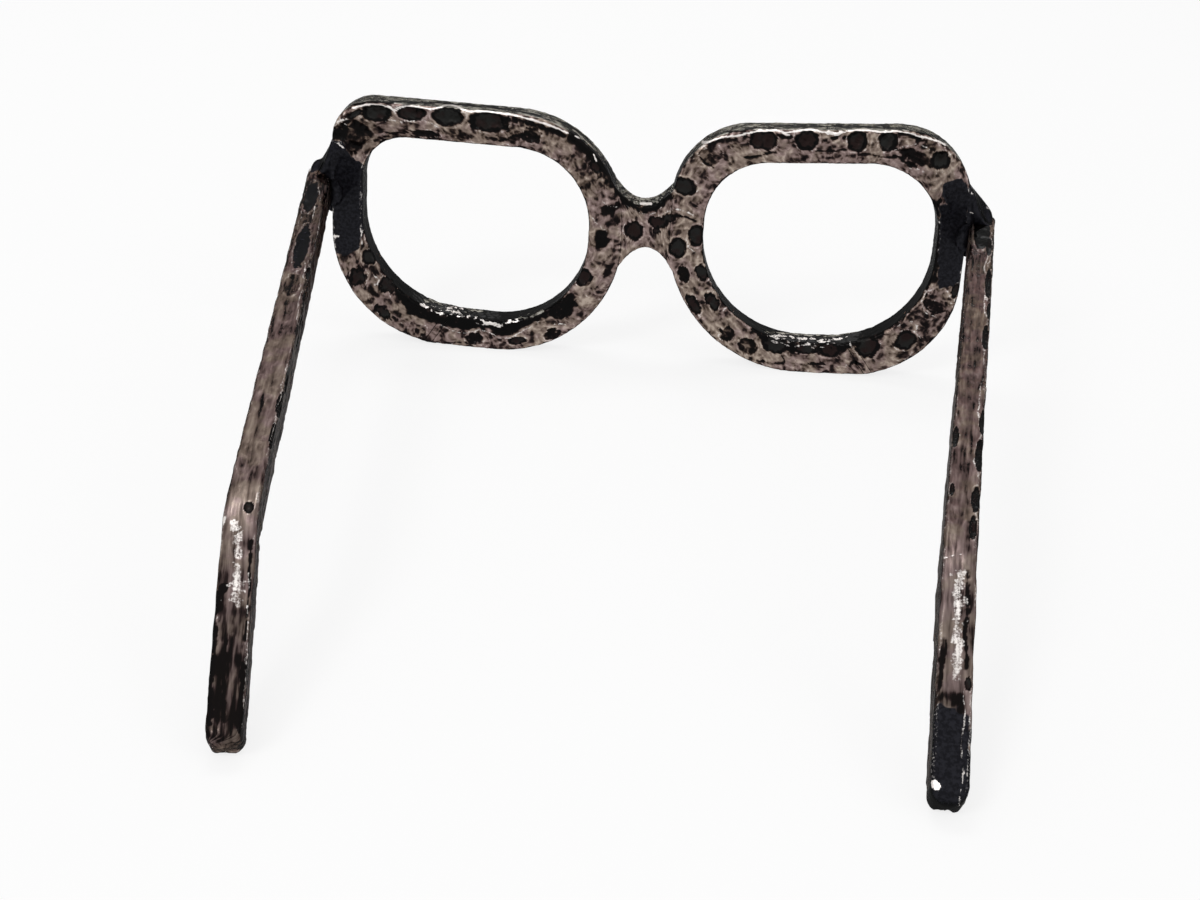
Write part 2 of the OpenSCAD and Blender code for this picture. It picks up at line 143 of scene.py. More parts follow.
def sideways(facing: Array) -> Array:
    """Tell how far directions point sideways, up or down, and not to the front or back."""
    return ramp(1 - np.abs(facing[:, 1]), SIDE_FROM, SIDE_TO)


def off_line(spots: Array, starts: Array, ends: Array) -> Array:
    """Return how far spots lie from the nearest of some straight stretches.

    Args:
        spots: the spots, one a row.
        starts: where the stretches begin.
        ends: where they end.

    Returns:
        The distances.
    """
    off = np.full(len(spots), np.inf)
    for a, b in zip(starts, ends):
        share = np.clip((spots - a) @ (b - a) / max((b - a) @ (b - a), 1e-9), 0, 1)
        off = np.minimum(off, np.linalg.norm(spots - a - share[:, None] * (b - a), axis=1))
    return off


def put(name: str, data: bpy.types.ID) -> bpy.types.Object:
    """Create an object and put it in the scene.

    Args:
        name: its name.
        data: its mesh, camera or lamp.

    Returns:
        The object.
    """
    made = bpy.data.objects.new(name, data)
    bpy.context.scene.collection.objects.link(made)
    return made


class Waves:
    """A smooth random relief: a sum of waves of about one length, each with its own direction."""

    SHORTEST, LONGEST = 0.7, 1.5

    def __init__(self, length_mm: float, seed: int, dims: int = 3, count: int = 28) -> None:
        """Draw the waves.

        Args:
            length_mm: the usual distance from crest to crest.
            seed: the seed of the draw.
            dims: how many numbers give a point.
            count: how many waves are summed.
        """
        rng = np.random.default_rng(seed)
        lengths = length_mm * rng.uniform(self.SHORTEST, self.LONGEST, count)
        self.steps = unit(rng.normal(size=(count, dims))) * (2 * math.pi / lengths)[:, None]
        self.starts = rng.uniform(0, 2 * math.pi, count)

    def __call__(self, points: Array) -> Array:
        """Give the relief at points, mostly between -1 and 1."""
        return np.sin(points @ self.steps.T + self.starts).sum(1) / math.sqrt(len(self.starts))


@dataclass(frozen=True)
class PhotoCamera:
    """The camera of the photograph, in the model's frame."""

    focal_px: float = 1579.4424
    x_mm: float = 6.083
    y_mm: float = -267.0814
    z_mm: float = 150.4684
    yaw_deg: float = -2.2805
    pitch_deg: float = 26.935
    roll_deg: float = -3.3847
    wide_px: int = 1200
    high_px: int = 900
    sensor_mm: float = 36.0

    def axes(self) -> Array:
        """Return the directions to the image's right, to its bottom and into it, as rows."""
        yaw, pitch, roll = np.radians((self.yaw_deg, self.pitch_deg, self.roll_deg))
        level = math.cos(pitch)
        ahead = np.array([math.sin(yaw) * level, math.cos(yaw) * level, -math.sin(pitch)])
        right = np.array([math.cos(yaw), -math.sin(yaw), 0.0])
        down = np.cross(ahead, right)
        turned = math.cos(roll) * right + math.sin(roll) * down
        return np.array([turned, -math.sin(roll) * right + math.cos(roll) * down, ahead])

    def place(self) -> Array:
        """Return the camera's place in millimetres."""
        return np.array([self.x_mm, self.y_mm, self.z_mm])

    def pixels(self, points: Array) -> tuple[Array, Array]:
        """Project points into the photograph.

        Args:
            points: places in millimetres, one a row.

        Returns:
            The pixels of the points, and their distances into the image.
        """
        seen = (points - self.place()) @ self.axes().T
        middle = np.array([self.wide_px, self.high_px]) / 2
        return middle + self.focal_px * seen[:, :2] / seen[:, 2:], seen[:, 2]

    def create(self) -> bpy.types.Object:
        """Create the camera and make it the scene's own."""
        data = bpy.data.cameras.new("photo_camera")
        data.sensor_width = self.sensor_mm
        data.lens = self.focal_px * self.sensor_mm / self.wide_px
        camera = put("photo_camera", data)
        right, down, ahead = self.axes()
        turn = Matrix(np.array([right, -down, -ahead]).T.tolist()).to_4x4()
        camera.matrix_world = Matrix.Translation((self.place() * MM).tolist()) @ turn
        bpy.context.scene.camera = camera
        return camera


class Tone(Enum):
    """What a mark leaves on the metal: its shares of black patina, of bright colour, of ground metal,
    and of a grey that is painted sheen. The bright colour is rubbed metal and chips, and on some marks
    a painted highlight, glint or reflection.
    """

    BLACK = (0.78, 0.0, 0.0, 0.0)
    UMBER = (0.6, 0.0, 0.0, 0.0)
    SOOT = (0.45, 0.0, 0.0, 0.0)
    BROWN = (0.28, 0.0, 0.0, 0.0)
    TORN = (0.15, 0.0, 0.0, 0.0)
    # The bright tones paint rubbed metal and chips, and on some marks painted highlights and glints
    PALE = (0.0, 1.0, 0.0, 0.0)
    CHIP = (0.0, 0.5, 0.0, 0.0)
    RUBBED = (0.0, 0.39, 0.0, 0.0)
    GROUND = (0.0, 0.0, 1.0, 0.0)
    # A grey sheen for faces turned up to the light: painted light
    GREY = (0.0, 0.0, 0.0, 1.0)
    PLAIN = (0.0, 0.0, 0.0, 0.0)


BLACK, UMBER, SOOT, BROWN, TORN, PALE, CHIP, RUBBED, GROUND, GREY, PLAIN = Tone


@dataclass(frozen=True)
class Blow:
    """A hammer's print: its middle and half sizes in the photograph's pixels, and its depth."""

    u: float
    v: float
    along_px: float
    across_px: float
    deep_mm: float = 0.5
    tone: Tone = BLACK
    ragged: float = 0.12


@dataclass(frozen=True)
class Streak:
    """A line on the metal, such as a crack, a scratch, a dark edge or a painted glint, in the
    photograph's pixels.
    """

    path: tuple[tuple[float, float], ...]
    half_px: float
    tone: Tone = BLACK
    ragged: float = 0.35
    deep_mm: float = 0.0


@dataclass(frozen=True)
class Patch:
    """A stretch of the metal with a colour of its own, by its outline in the photograph's pixels."""

    outline: tuple[tuple[float, float], ...]
    tone: Tone
    soft_px: float = 2.5
    ragged: float = 1.5


Mark = Blow | Streak | Patch


@dataclass(frozen=True)
class PrintRow:
    """A row of hammer prints, each a little off its place, out of the camera's sight."""

    loop_point: int
    pitch_mm: float
    start_mm: float
    seed: int
    along_mm: float = 3.0
    across_mm: float = 2.0
    deep_mm: float = 0.45


@dataclass(frozen=True)
class Relief:
    """One layer of the unevenness that forging leaves on a face, always into the metal."""

    length_mm: float
    deep_mm: float
    seed: int
    drawn: bool = False
    ridged: bool = False
    shows: float = 0.0
    # Broad waves bend the layer out of its regular run
    bend_length: float = 1.6
    bend_share: float = 0.25

    def field(self, points: Array) -> Array:
        """Give the layer at points: about 1 on its crests, about -1 in its hollows.

        Args:
            points: places, or rows of a skin's flow.

        Returns:
            The layer at each.
        """
        dims = points.shape[1]
        broad = self.bend_length * self.length_mm
        wide = [Waves(broad, 10 * self.seed + k, dims) for k in range(dims)]
        warp = np.stack([waves(points) for waves in wide], 1)
        bent = points + self.bend_share * self.length_mm * warp
        waves = Waves(self.length_mm, self.seed, dims)(bent)
        return 1 - 2 * np.abs(np.clip(waves, -1, 1)) if self.ridged else waves


class Skin:
    """A closed skin of points in millimetres, with what its finish needs to know at each point."""

    # A crest begins to be rubbed at this share of the height at which it is worn through
    WEAR_FROM = 0.3
    # Between these shares of black the wear fades, by this much: patina protects the metal
    BLACK_FROM, BLACK_TO, BLACK_KEEPS = 0.4, 0.8, 0.9

    def __init__(
        self,
        name: str,
        points: Array,
        faces: Sequence[Array],
        grain: Array,
        along: Array,
        flow: Array | None = None,
    ) -> None:
        """Keep the mesh, and turn its faces outwards.

        Args:
            name: the name of the piece.
            points: places, one a row.
            faces: arrays of faces, each with a fixed number of corners.
            grain: distance along the bar, distance around it and depth, for each point.
            along: the bar's direction at each point.
            flow: places in the section, and the shortened distance along the bar as a fourth
                number, for relief that is drawn out along it.
        """
        self.name = name
        self.points = points
        self.faces = [np.asarray(f) for f in faces if len(f)]
        self.grain = grain
        self.along = unit(along)
        self.flow = np.insert(points, 3, 0.0, axis=1) if flow is None else flow
        self.handled = np.ones(len(points))
        if self.volume() < 0:
            self.faces = [f[:, ::-1] for f in self.faces]
        self.tones = np.zeros((len(points), 4))
        self.calm = np.ones(len(points))
        self.ring_size = 0
        pairs = np.concatenate(
            [np.stack([f, np.roll(f, -1, 1)], 2).reshape(-1, 2) for f in self.faces]
        )
        self.pairs = np.concatenate([pairs, pairs[:, ::-1]])
        self.counts = np.bincount(self.pairs[:, 0], minlength=len(points))[:, None]

    def triangles(self) -> Array:
        """Return the faces cut into triangles."""
        return np.concatenate(
            [f[:, [0, i, i + 1]] for f in self.faces for i in range(1, f.shape[1] - 1)]
        )

    def volume(self) -> float:
        """Return the volume, which is below zero when the faces point inwards."""
        a, b, c = (self.points[self.triangles()[:, i]] for i in range(3))
        return float(np.einsum("ij,ij->", a, np.cross(b, c)) / 6)

    def normals(self) -> Array:
        """Return the directions that the skin faces at its points."""
        tri = self.triangles()
        a, b, c = (self.points[tri[:, i]] for i in range(3))
        flat = np.cross(b - a, c - a)
        return unit(self.gathered(tri.T.ravel(), np.tile(flat, (3, 1))))

    def gathered(self, at: Array, rows: Array) -> Array:
        """Add rows of values up at the points that they belong to."""
        count = len(self.points)
        return np.stack([np.bincount(at, column, count) for column in rows.T], 1)

    def blurred(self, values: Array, times: int) -> Array:
        """Average values with those of the neighbouring points.

        Args:
            values: one row a point.
            times: how often to average.

        Returns:
            The averaged values.
        """
        out = values.astype(float)
        for _ in range(times):
            near = self.gathered(self.pairs[:, 0], out[self.pairs[:, 1]])
            out = (out + near) / (1 + self.counts)
        return out

    def wear_edges(self, times: int, full_mm: float, share: float) -> None:
        """Rub the crests pale, as handling does.

        Args:
            times: how far to look around each point, in steps of the mesh.
            full_mm: how far a crest stands out where it is worn through.
            share: the palest that a crest gets.
        """
        out = ((self.points - self.blurred(self.points, times)) * self.normals()).sum(1)
        rubbed = share * self.handled * ramp(out, full_mm * self.WEAR_FROM, full_mm)
        dark = ramp(self.tones[:, 0], self.BLACK_FROM, self.BLACK_TO)
        rubbed = rubbed * (1 - self.BLACK_KEEPS * dark)
        self.tones[:, 1] = np.maximum(self.tones[:, 1], rubbed)

    def build(self) -> bpy.types.Object:
        """Create the mesh object, in metres and at the origin."""
        mesh = bpy.data.meshes.new(self.name)
        sizes = np.concatenate([np.full(len(f), f.shape[1]) for f in self.faces])
        corners = np.concatenate([f.ravel() for f in self.faces])
        mesh.vertices.add(len(self.points))
        mesh.vertices.foreach_set("co", (self.points * MM).astype(np.float32).ravel())
        mesh.loops.add(len(corners))
        mesh.loops.foreach_set("vertex_index", corners.astype(np.int32))
        mesh.polygons.add(len(sizes))
        starts = np.concatenate([[0], np.cumsum(sizes)[:-1]])
        mesh.polygons.foreach_set("loop_start", starts.astype(np.int32))
        mesh.update(calc_edges=True)
        mesh.validate()
        mesh.shade_smooth()
        mesh.set_sharp_from_angle(angle=math.radians(SHARP_DEG))
        grain = mesh.attributes.new("grain", "FLOAT_VECTOR", "POINT")
        grain.data.foreach_set("vector", self.grain.astype(np.float32).ravel())
        # Its channels: black patina, bright colour (rubbed metal and painted glints), ground metal, and
        # the painted grey sheen in the alpha
        wear = mesh.attributes.new("wear", "FLOAT_COLOR", "POINT")
        wear.data.foreach_set("color", np.clip(self.tones, 0, 1).astype(np.float32).ravel())
        return put(self.name, mesh)


@dataclass(frozen=True)
class BarSection:
    """The near-square section of a bar, with rounded edges, as a loop of points."""

    edge_mm: float = 0.85
    side_points: int = 21
    edge_points: int = 6
    least_edge_mm: float = 0.05

    def loop(
        self,
        widths: Array,
        depths: Array,
        drawn: Array,
        outer_edge: Array | None = None,
        inner_edge: Array | None = None,
    ) -> Array:
        """Lay out the section for each ring.

        Args:
            widths: the bar's width at each ring.
            depths: its depth at each ring.
            drawn: how far each ring is drawn in all round.
            outer_edge: the radius of the two edges at full width, where it differs.
            inner_edge: the radius of the other two edges, where it differs.

        Returns:
            For each ring its points as distances across the width and the depth.
        """
        rows = []
        # The loop starts at the edge (0, depth), so that its own seam lies out of sight.
        for corner, begin in (((0, 1), 90), ((0, 0), 180), ((1, 0), 270), ((1, 1), 0)):
            turn = np.radians(begin + np.linspace(0, 90, self.edge_points))
            edge = outer_edge if corner[0] else inner_edge
            if edge is None:
                edge = np.full(len(widths), self.edge_mm)
            middle_a = edge + corner[0] * (widths - 2 * edge)
            middle_b = edge + corner[1] * (depths - 2 * edge)
            reach = np.maximum(edge - drawn, self.least_edge_mm)
            a = middle_a[:, None] + reach[:, None] * np.cos(turn)
            b = middle_b[:, None] + reach[:, None] * np.sin(turn)
            a = np.clip(a, drawn[:, None], (widths - drawn)[:, None])
            b = np.clip(b, drawn[:, None], (depths - drawn)[:, None])
            rows.append(np.stack([a, b], 2))
        parts = []
        steps = np.linspace(0, 1, self.side_points + 2)[1:-1]
        for here, after in zip(rows, rows[1:] + rows[:1]):
            parts.append(here)
            gap = after[:, :1] - here[:, -1:]
            parts.append(here[:, -1:] + gap * steps[None, :, None])
        return np.concatenate(parts, 1)

    @staticmethod
    def around(loop: Array) -> Array:
        """Return the distance around the section at each of its points."""
        steps = np.linalg.norm(np.diff(loop, axis=1), axis=2)
        return np.concatenate([np.zeros((len(loop), 1)), np.cumsum(steps, 1)], 1)


def swept(
    name: str, rings: Array, s: Array, around: Array, insets: Sequence[float] = ()
) -> Skin:
    """Skin a row of rings and close both ends.

    Args:
        name: the name of the piece.
        rings: the points of each ring, ring by ring.
        s: the distance of each ring along the bar.
        around: the distance of each point around its ring.
        insets: shares by which the rings on an end face are drawn to its middle.

    Returns:
        The closed skin.
    """
    ends = []
    for ring in (rings[0], rings[-1]):
        middle = ring.mean(0)
        ends.append([middle + (ring - middle) * (1 - k) for k in insets])
    first, last = ends
    rings = np.array([*first[::-1], *rings, *last])
    pad = len(insets)
    s = np.pad(s, pad, "edge")
    around = np.pad(around, ((pad, pad), (0, 0)), "edge")
    count, size = rings.shape[:2]
    index = np.arange(count * size).reshape(count, size)
    quads = np.stack(
        [index[:-1], np.roll(index, -1, 1)[:-1], np.roll(index, -1, 1)[1:], index[1:]], 2
    ).reshape(-1, 4)
    hubs = count * size + np.arange(2)
    fans = [
        np.stack([np.full(size, hubs[0]), np.roll(index[0], -1), index[0]], 1),
        np.stack([np.full(size, hubs[1]), index[-1], np.roll(index[-1], -1)], 1),
    ]
    middles = rings.mean(1)
    along = np.gradient(middles, axis=0)
    along[:pad] = along[pad]
    along[count - pad :] = along[count - pad - 1]
    points = np.concatenate([rings.reshape(-1, 3), middles[[0, -1]]])
    grain = np.stack([np.repeat(s, size), around.ravel(), np.zeros(count * size)], 1)
    grain = np.concatenate([grain, [[s[0], 0, 0], [s[-1], 0, 0]]])
    ways = np.concatenate([np.repeat(along, size, 0), along[[0, -1]]])
    offsets = np.concatenate([(rings - middles[:, None]).reshape(-1, 3), np.zeros((2, 3))])
    flow = np.concatenate([offsets, DRAWN_OUT * grain[:, :1]], 1)
    skin = Skin(name, points, [quads, *fans], grain, ways, flow)
    skin.ring_size = size
    return skin


class Anvil:
    """Pieces that are hammered, scratched and blackened together, as one surface."""

    # A point is in sight up to this cosine of its face to the line of sight
    SIGHT_LIMIT = 0.1
    # Marks fade on faces seen edge-on: none up to the first cosine, whole from the second
    SQUARE_FROM, SQUARE_TO = 0.06, 0.2
    # Lengths of waves: coarse and fine for rough outlines, long and short, twice, for straying
    # lines; the seed of the first; and the share that short ones have in a straying line
    WAVES_MM, SEED, SHORT_SHARE = (1.7, 0.8, 6.0, 6.0, 2.0, 2.0), 11, 0.3
    # The point for a pixel: what a millimetre of distance counts for, and when it is too far off
    DEPTH_PX, HIDDEN_PX, WARN_PX = 0.2, 1e4, 6
    # Dark tones cover what was there at least this fully
    DARK_GRIP = 0.9
    # A print: its reach, the fine waves' share, its end, and how far faces may turn from it
    PRINT_REACH, PRINT_FINE, PRINT_END, PRINT_TURN = 1.6, 0.6, 1.7, -0.2
    # Its lip: how far outside the edge it stands, its width, and its height
    LIP_OUT, LIP_WIDE, LIP_HIGH = 0.28, 0.16, 0.1
    # Its tone comes up between these shares of its depth, and its black middle between those
    TONE_FROM, TONE_TO = -0.15, 0.12
    CORE_FROM, CORE_TO = 0.1, 0.6
    # A streak: the fine waves' share, and where it reaches its full tone
    STREAK_FINE, STREAK_FULL = 0.7, 0.7
    # Prints in a row: how far they stray along and around the bar, their range of sizes, how
    # often they are black, how often they land, and how ragged they are
    ROW_STRAY_MM, ROW_STRAY_POINTS, ROW_SIZES = 2.8, 2, (0.6, 1.2)
    ROW_BLACK, ROW_LANDS, ROW_RAGGED = 0.6, 0.85, 0.25
    # How much less ground and black places are crumpled, and between which shares of black
    GROUND_CALM, BLACK_CALM, CALM_FROM, CALM_TO = 0.8, 0.6, 0.6, 1.0
    # How much a lip adds to the lie of the metal, and between which shares of black its shine ends
    LIP_LIFT, SHINE_FROM, SHINE_TO = 0.4, 0.3, 0.6

    def __init__(self, camera: PhotoCamera, skins: Sequence[Skin]) -> None:
        """Lay the pieces side by side and note how the camera sees them.

        Args:
            camera: the camera that the marks' pixels belong to.
            skins: the pieces.
        """
        self.camera = camera
        self.skins = skins
        self.clean, self.along, self.flow, self.tones, self.calm = (
            np.concatenate([getattr(skin, part) for skin in skins])
            for part in ("points", "along", "flow", "tones", "calm")
        )
        self.moved = self.clean.copy()
        self.facing = np.concatenate([skin.normals() for skin in skins])
        self.lay = np.full(len(self.clean), 0.5)
        self.lips = np.zeros(len(self.clean))
        self.px, self.depth = camera.pixels(self.clean)
        turned = (unit(self.clean - camera.place()) * self.facing).sum(1)
        self.seen = turned < self.SIGHT_LIMIT
        self.square = ramp(-turned, self.SQUARE_FROM, self.SQUARE_TO)
        self.rough, self.rougher, *strays = (
            Waves(length, self.SEED + k)(self.clean) for k, length in enumerate(self.WAVES_MM)
        )
        self.drift = np.stack(strays[:2], 1) + self.SHORT_SHARE * np.stack(strays[2:], 1)

    def find(self, u: float, v: float) -> int:
        """Return the point that shows at a pixel of the photograph.

        Args:
            u: the pixel's column.
            v: its row.

        Returns:
            The point's number.
        """
        off = np.hypot(self.px[:, 0] - u, self.px[:, 1] - v)
        score = off + self.DEPTH_PX * self.depth + np.where(self.seen, 0.0, self.HIDDEN_PX)
        found = int(np.argmin(score))
        if off[found] > self.WARN_PX:
            LOG.warning("mark at %s, %s lands %.1f px away", u, v, off[found])
        return found

    def tint(self, share: Array, tone: Tone, where: Array | slice) -> None:
        """Let a mark's tone take hold of points.

        Args:
            share: how fully it does, from 0 to 1.
            tone: the tone.
            where: the points.
        """
        row = np.array(tone.value)
        grip = share[:, None] * (row.max() or 1.0)
        if tone in (BROWN, SOOT, UMBER):
            grip = np.maximum(grip, self.DARK_GRIP * share[:, None])
        others = np.where(row > 0, 1.0, 1 - grip)
        self.tones[where] = np.maximum(self.tones[where] * others, share[:, None] * row)

    def press(
        self, at: int, along_mm: float, across_mm: float, deep_mm: float, tone: Tone, ragged: float
    ) -> None:
        """Press a hammer's print into the metal.

        Args:
            at: the point in the middle of the print.
            along_mm: half its length along the bar.
            across_mm: half its width.
            deep_mm: its depth.
            tone: what it leaves behind.
            ragged: how uneven its outline is.
        """
        middle = self.clean[at]
        apart = self.clean - middle
        far = (apart * apart).sum(1)
        near = np.flatnonzero(far < (self.PRINT_REACH * max(along_mm, across_mm)) ** 2)
        x = apart[near] @ self.along[at]
        y2 = np.maximum(far[near] - x * x, 0)
        rho2 = (x / along_mm) ** 2 + y2 / across_mm**2
        rho2 = rho2 + ragged * (self.rough[near] + self.PRINT_FINE * self.rougher[near])
        met = rho2 < self.PRINT_END
        met &= self.facing[near] @ self.facing[at] > self.PRINT_TURN
        held, share = near[met], 1 - rho2[met]
        inward = unit(self.facing[held].sum(0)) if len(held) else self.facing[at]
        # Round the print the metal is pushed up into a lip, which is rubbed bright later.
        lip = np.exp(-(((share + self.LIP_OUT) / self.LIP_WIDE) ** 2))
        sunk = deep_mm * (np.maximum(share, 0) - self.LIP_HIGH * lip)
        self.moved[held] -= inward * sunk[:, None]
        self.lips[held] = np.maximum(self.lips[held] * (share < self.CORE_FROM), lip)
        self.tint(ramp(share, self.TONE_FROM, self.TONE_TO), tone, held)
        if tone is BLACK:
            # The middle of a print is polished by the hammer; only its rim is quite black.
            core = ramp(share, self.CORE_FROM, self.CORE_TO)
            self.tones[held, 0] = np.maximum(self.tones[held, 0], core)

    def strike(self, blow: Blow) -> None:
        """Land a blow where the photograph shows it.

        Args:
            blow: the blow.
        """
        at = self.find(blow.u, blow.v)
        way = self.along[at]
        side = np.cross(self.facing[at], way)
        trial = self.clean[at] + np.array([np.zeros(3), way, side])
        spots = self.camera.pixels(trial)[0]
        scale = np.linalg.norm(spots[1:] - spots[0], axis=1)
        along, across = blow.along_px / scale[0], blow.across_px / scale[1]
        self.press(at, along, across, blow.deep_mm, blow.tone, blow.ragged)

    def near_line(self, line: Array, reach: float) -> Array:
        """Return the points in sight whose pixels lie within reach of a line's box."""
        low, high = line.min(0) - reach, line.max(0) + reach
        return np.flatnonzero(((self.px > low) & (self.px < high)).all(1) & self.seen)

    def draw(self, streak: Streak) -> None:
        """Draw a streak along its path.

        Args:
            streak: the streak.
        """
        path = np.array(streak.path, float)
        near = self.near_line(path, streak.half_px * (1 + streak.ragged) + 1)
        spot = self.px[near] + DRIFT_PX * streak.ragged * self.drift[near]
        off = off_line(spot, path[:-1], path[1:])
        fine = self.rough[near] + self.STREAK_FINE * self.rougher[near]
        edge = 1 - off / streak.half_px + streak.ragged**2 * fine
        share = ramp(edge, 0.0, self.STREAK_FULL) * self.square[near]
        self.moved[near] -= self.facing[near] * (streak.deep_mm * share)[:, None]
        self.tint(share, streak.tone, near)

    def cover(self, patch: Patch) -> None:
        """Give the metal inside an outline its tone.

        Args:
            patch: the outline and its tone.
        """
        ring = np.array(patch.outline, float)
        near = self.near_line(ring, patch.soft_px + patch.ragged + 1)
        spot, after = self.px[near], np.roll(ring, -1, 0)
        off = off_line(spot, ring, after)
        inside = np.zeros(len(near), bool)
        for a, b in zip(ring, after):
            spans = (a[1] > spot[:, 1]) != (b[1] > spot[:, 1])
            rise = b[1] - a[1] if abs(b[1] - a[1]) > 1e-9 else 1e-9
            inside ^= spans & (spot[:, 0] < a[0] + (b[0] - a[0]) * (spot[:, 1] - a[1]) / rise)
        depth = np.where(inside, off, -off) + patch.ragged * self.rough[near]
        share = ramp(depth, -patch.soft_px, patch.soft_px) * self.square[near]
        self.tint(share, patch.tone, near)

    def work(self, marks: Iterable[Mark]) -> None:
        """Make marks in their order.

        Args:
            marks: the marks.
        """
        for mark in marks:
            if isinstance(mark, Blow):
                self.strike(mark)
            elif isinstance(mark, Streak):
                self.draw(mark)
            else:
                self.cover(mark)

    def print_row(self, skin: Skin, ring_mm: float, row: PrintRow) -> None:
        """Land the blows of a row, each a little off its place, where the camera doesn't see them.

        Args:
            skin: the bar that they land on.
            ring_mm: the distance between its rings.
            row: the row.
        """
        rng = np.random.default_rng(row.seed)
        before = self.skins[: self.skins.index(skin)]
        start = sum(len(k.points) for k in before)
        last = (len(skin.points) - 2) // skin.ring_size - 1
        for middle in np.arange(row.start_mm, last * ring_mm, row.pitch_mm):
            stray = rng.uniform(-self.ROW_STRAY_MM, self.ROW_STRAY_MM)
            ring = round((middle + stray) / ring_mm)
            around = int(rng.integers(-self.ROW_STRAY_POINTS, self.ROW_STRAY_POINTS + 1))
            point = row.loop_point + around
            at = start + min(max(ring, 0), last) * skin.ring_size + point
            along, across, deep = rng.uniform(*self.ROW_SIZES, 3)
            tone = BLACK if rng.random() < self.ROW_BLACK else UMBER
            free = not self.seen[at] and self.tones[at, 2] < 0.5
            if free and rng.random() < self.ROW_LANDS:
                sizes = row.along_mm * along, row.across_mm * across, row.deep_mm * deep
                self.press(at, *sizes, tone, self.ROW_RAGGED)

    def forge(self, layers: Sequence[Relief]) -> None:
        """Give the faces the unevenness that forging leaves, and note how high each point lies.

        Args:
            layers: the layers of unevenness.
        """
        calm = self.calm * (1 - self.GROUND_CALM * self.tones[:, 2])
        calm = calm * (1 - self.BLACK_CALM * ramp(self.tones[:, 0], self.CALM_FROM, self.CALM_TO))
        shown = np.zeros(len(self.clean))
        for layer in layers:
            field = layer.field(self.flow if layer.drawn else self.clean)
            sunk = layer.deep_mm * calm * np.maximum(0.5 - 0.5 * field, 0)
            self.moved -= self.facing * sunk[:, None]
            shown += layer.shows * field
        # How high each point lies sets its colour later: hollows darker, for patina and as painted
        # shade of the relief, and lips lighter
        self.lay = np.clip(0.5 + 0.5 * shown + self.LIP_LIFT * self.lips, 0, 1)
        dark = ramp(self.tones[:, 0], self.SHINE_FROM, self.SHINE_TO)
        rubbed = LIP_SHINE * self.lips * (1 - dark)
        self.tones[:, 1] = np.maximum(self.tones[:, 1], rubbed * (1 - self.tones[:, 2]))

    def finish(self, low: Array, high: Array) -> None:
        """Hand the worked points back to their pieces.

        Args:
            low: the lowest corner of the solid model's box.
            high: its highest corner.
        """
        start = 0
        for skin in self.skins:
            end = start + len(skin.points)
            skin.points = np.clip(self.moved[start:end], low, high)
            skin.tones = self.tones[start:end]
            skin.grain[:, 2] = self.lay[start:end]
            start = end


class Outline:
    """A closed line in the plane of a rim: four corners, counter-clockwise, with a radius each."""

    def __init__(self, corners: Array, radii: Sequence[float]) -> None:
        """Work out the arcs at the corners and the sides between them.

        Args:
            corners: the four corners.
            radii: the radius at each.
        """
        self.corners = corners
        self.radii = np.array(radii, float)
        sides = np.roll(corners, -1, 0) - corners
        self.ways = unit(sides)
        before = np.roll(self.ways, 1, 0)
        headings = np.arctan2(self.ways[:, 1], self.ways[:, 0])
        earlier = np.arctan2(before[:, 1], before[:, 0])
        self.turns = (headings - earlier) % (2 * math.pi)
        self.starts = earlier - math.pi / 2
        self.cuts = self.radii * np.tan(self.turns / 2)
        left = np.stack([-self.ways[:, 1], self.ways[:, 0]], 1)
        self.centres = corners + self.ways * self.cuts[:, None] + left * self.radii[:, None]
        self.lengths = np.empty(8)
        self.lengths[0::2] = self.radii * self.turns
        self.lengths[1::2] = np.linalg.norm(sides, axis=1) - self.cuts - np.roll(self.cuts, -1)

    def at(self, stretch: Array, share: Array) -> Array:
        """Return points on the line.

        Args:
            stretch: 0 to 7, where an even one is the arc at a corner and an odd one the side after it.
            share: how far along its stretch each point lies.

        Returns:
            The points, one a row.
        """
        i = stretch // 2
        turn = self.starts[i] + share * self.turns[i]
        arc = self.centres[i] + self.radii[i, None] * np.stack([np.cos(turn), np.sin(turn)], 1)
        reach = self.cuts[i] + share * self.lengths[stretch]
        side = self.corners[i] + self.ways[i] * reach[:, None]
        return np.where((stretch % 2 == 0)[:, None], arc, side)


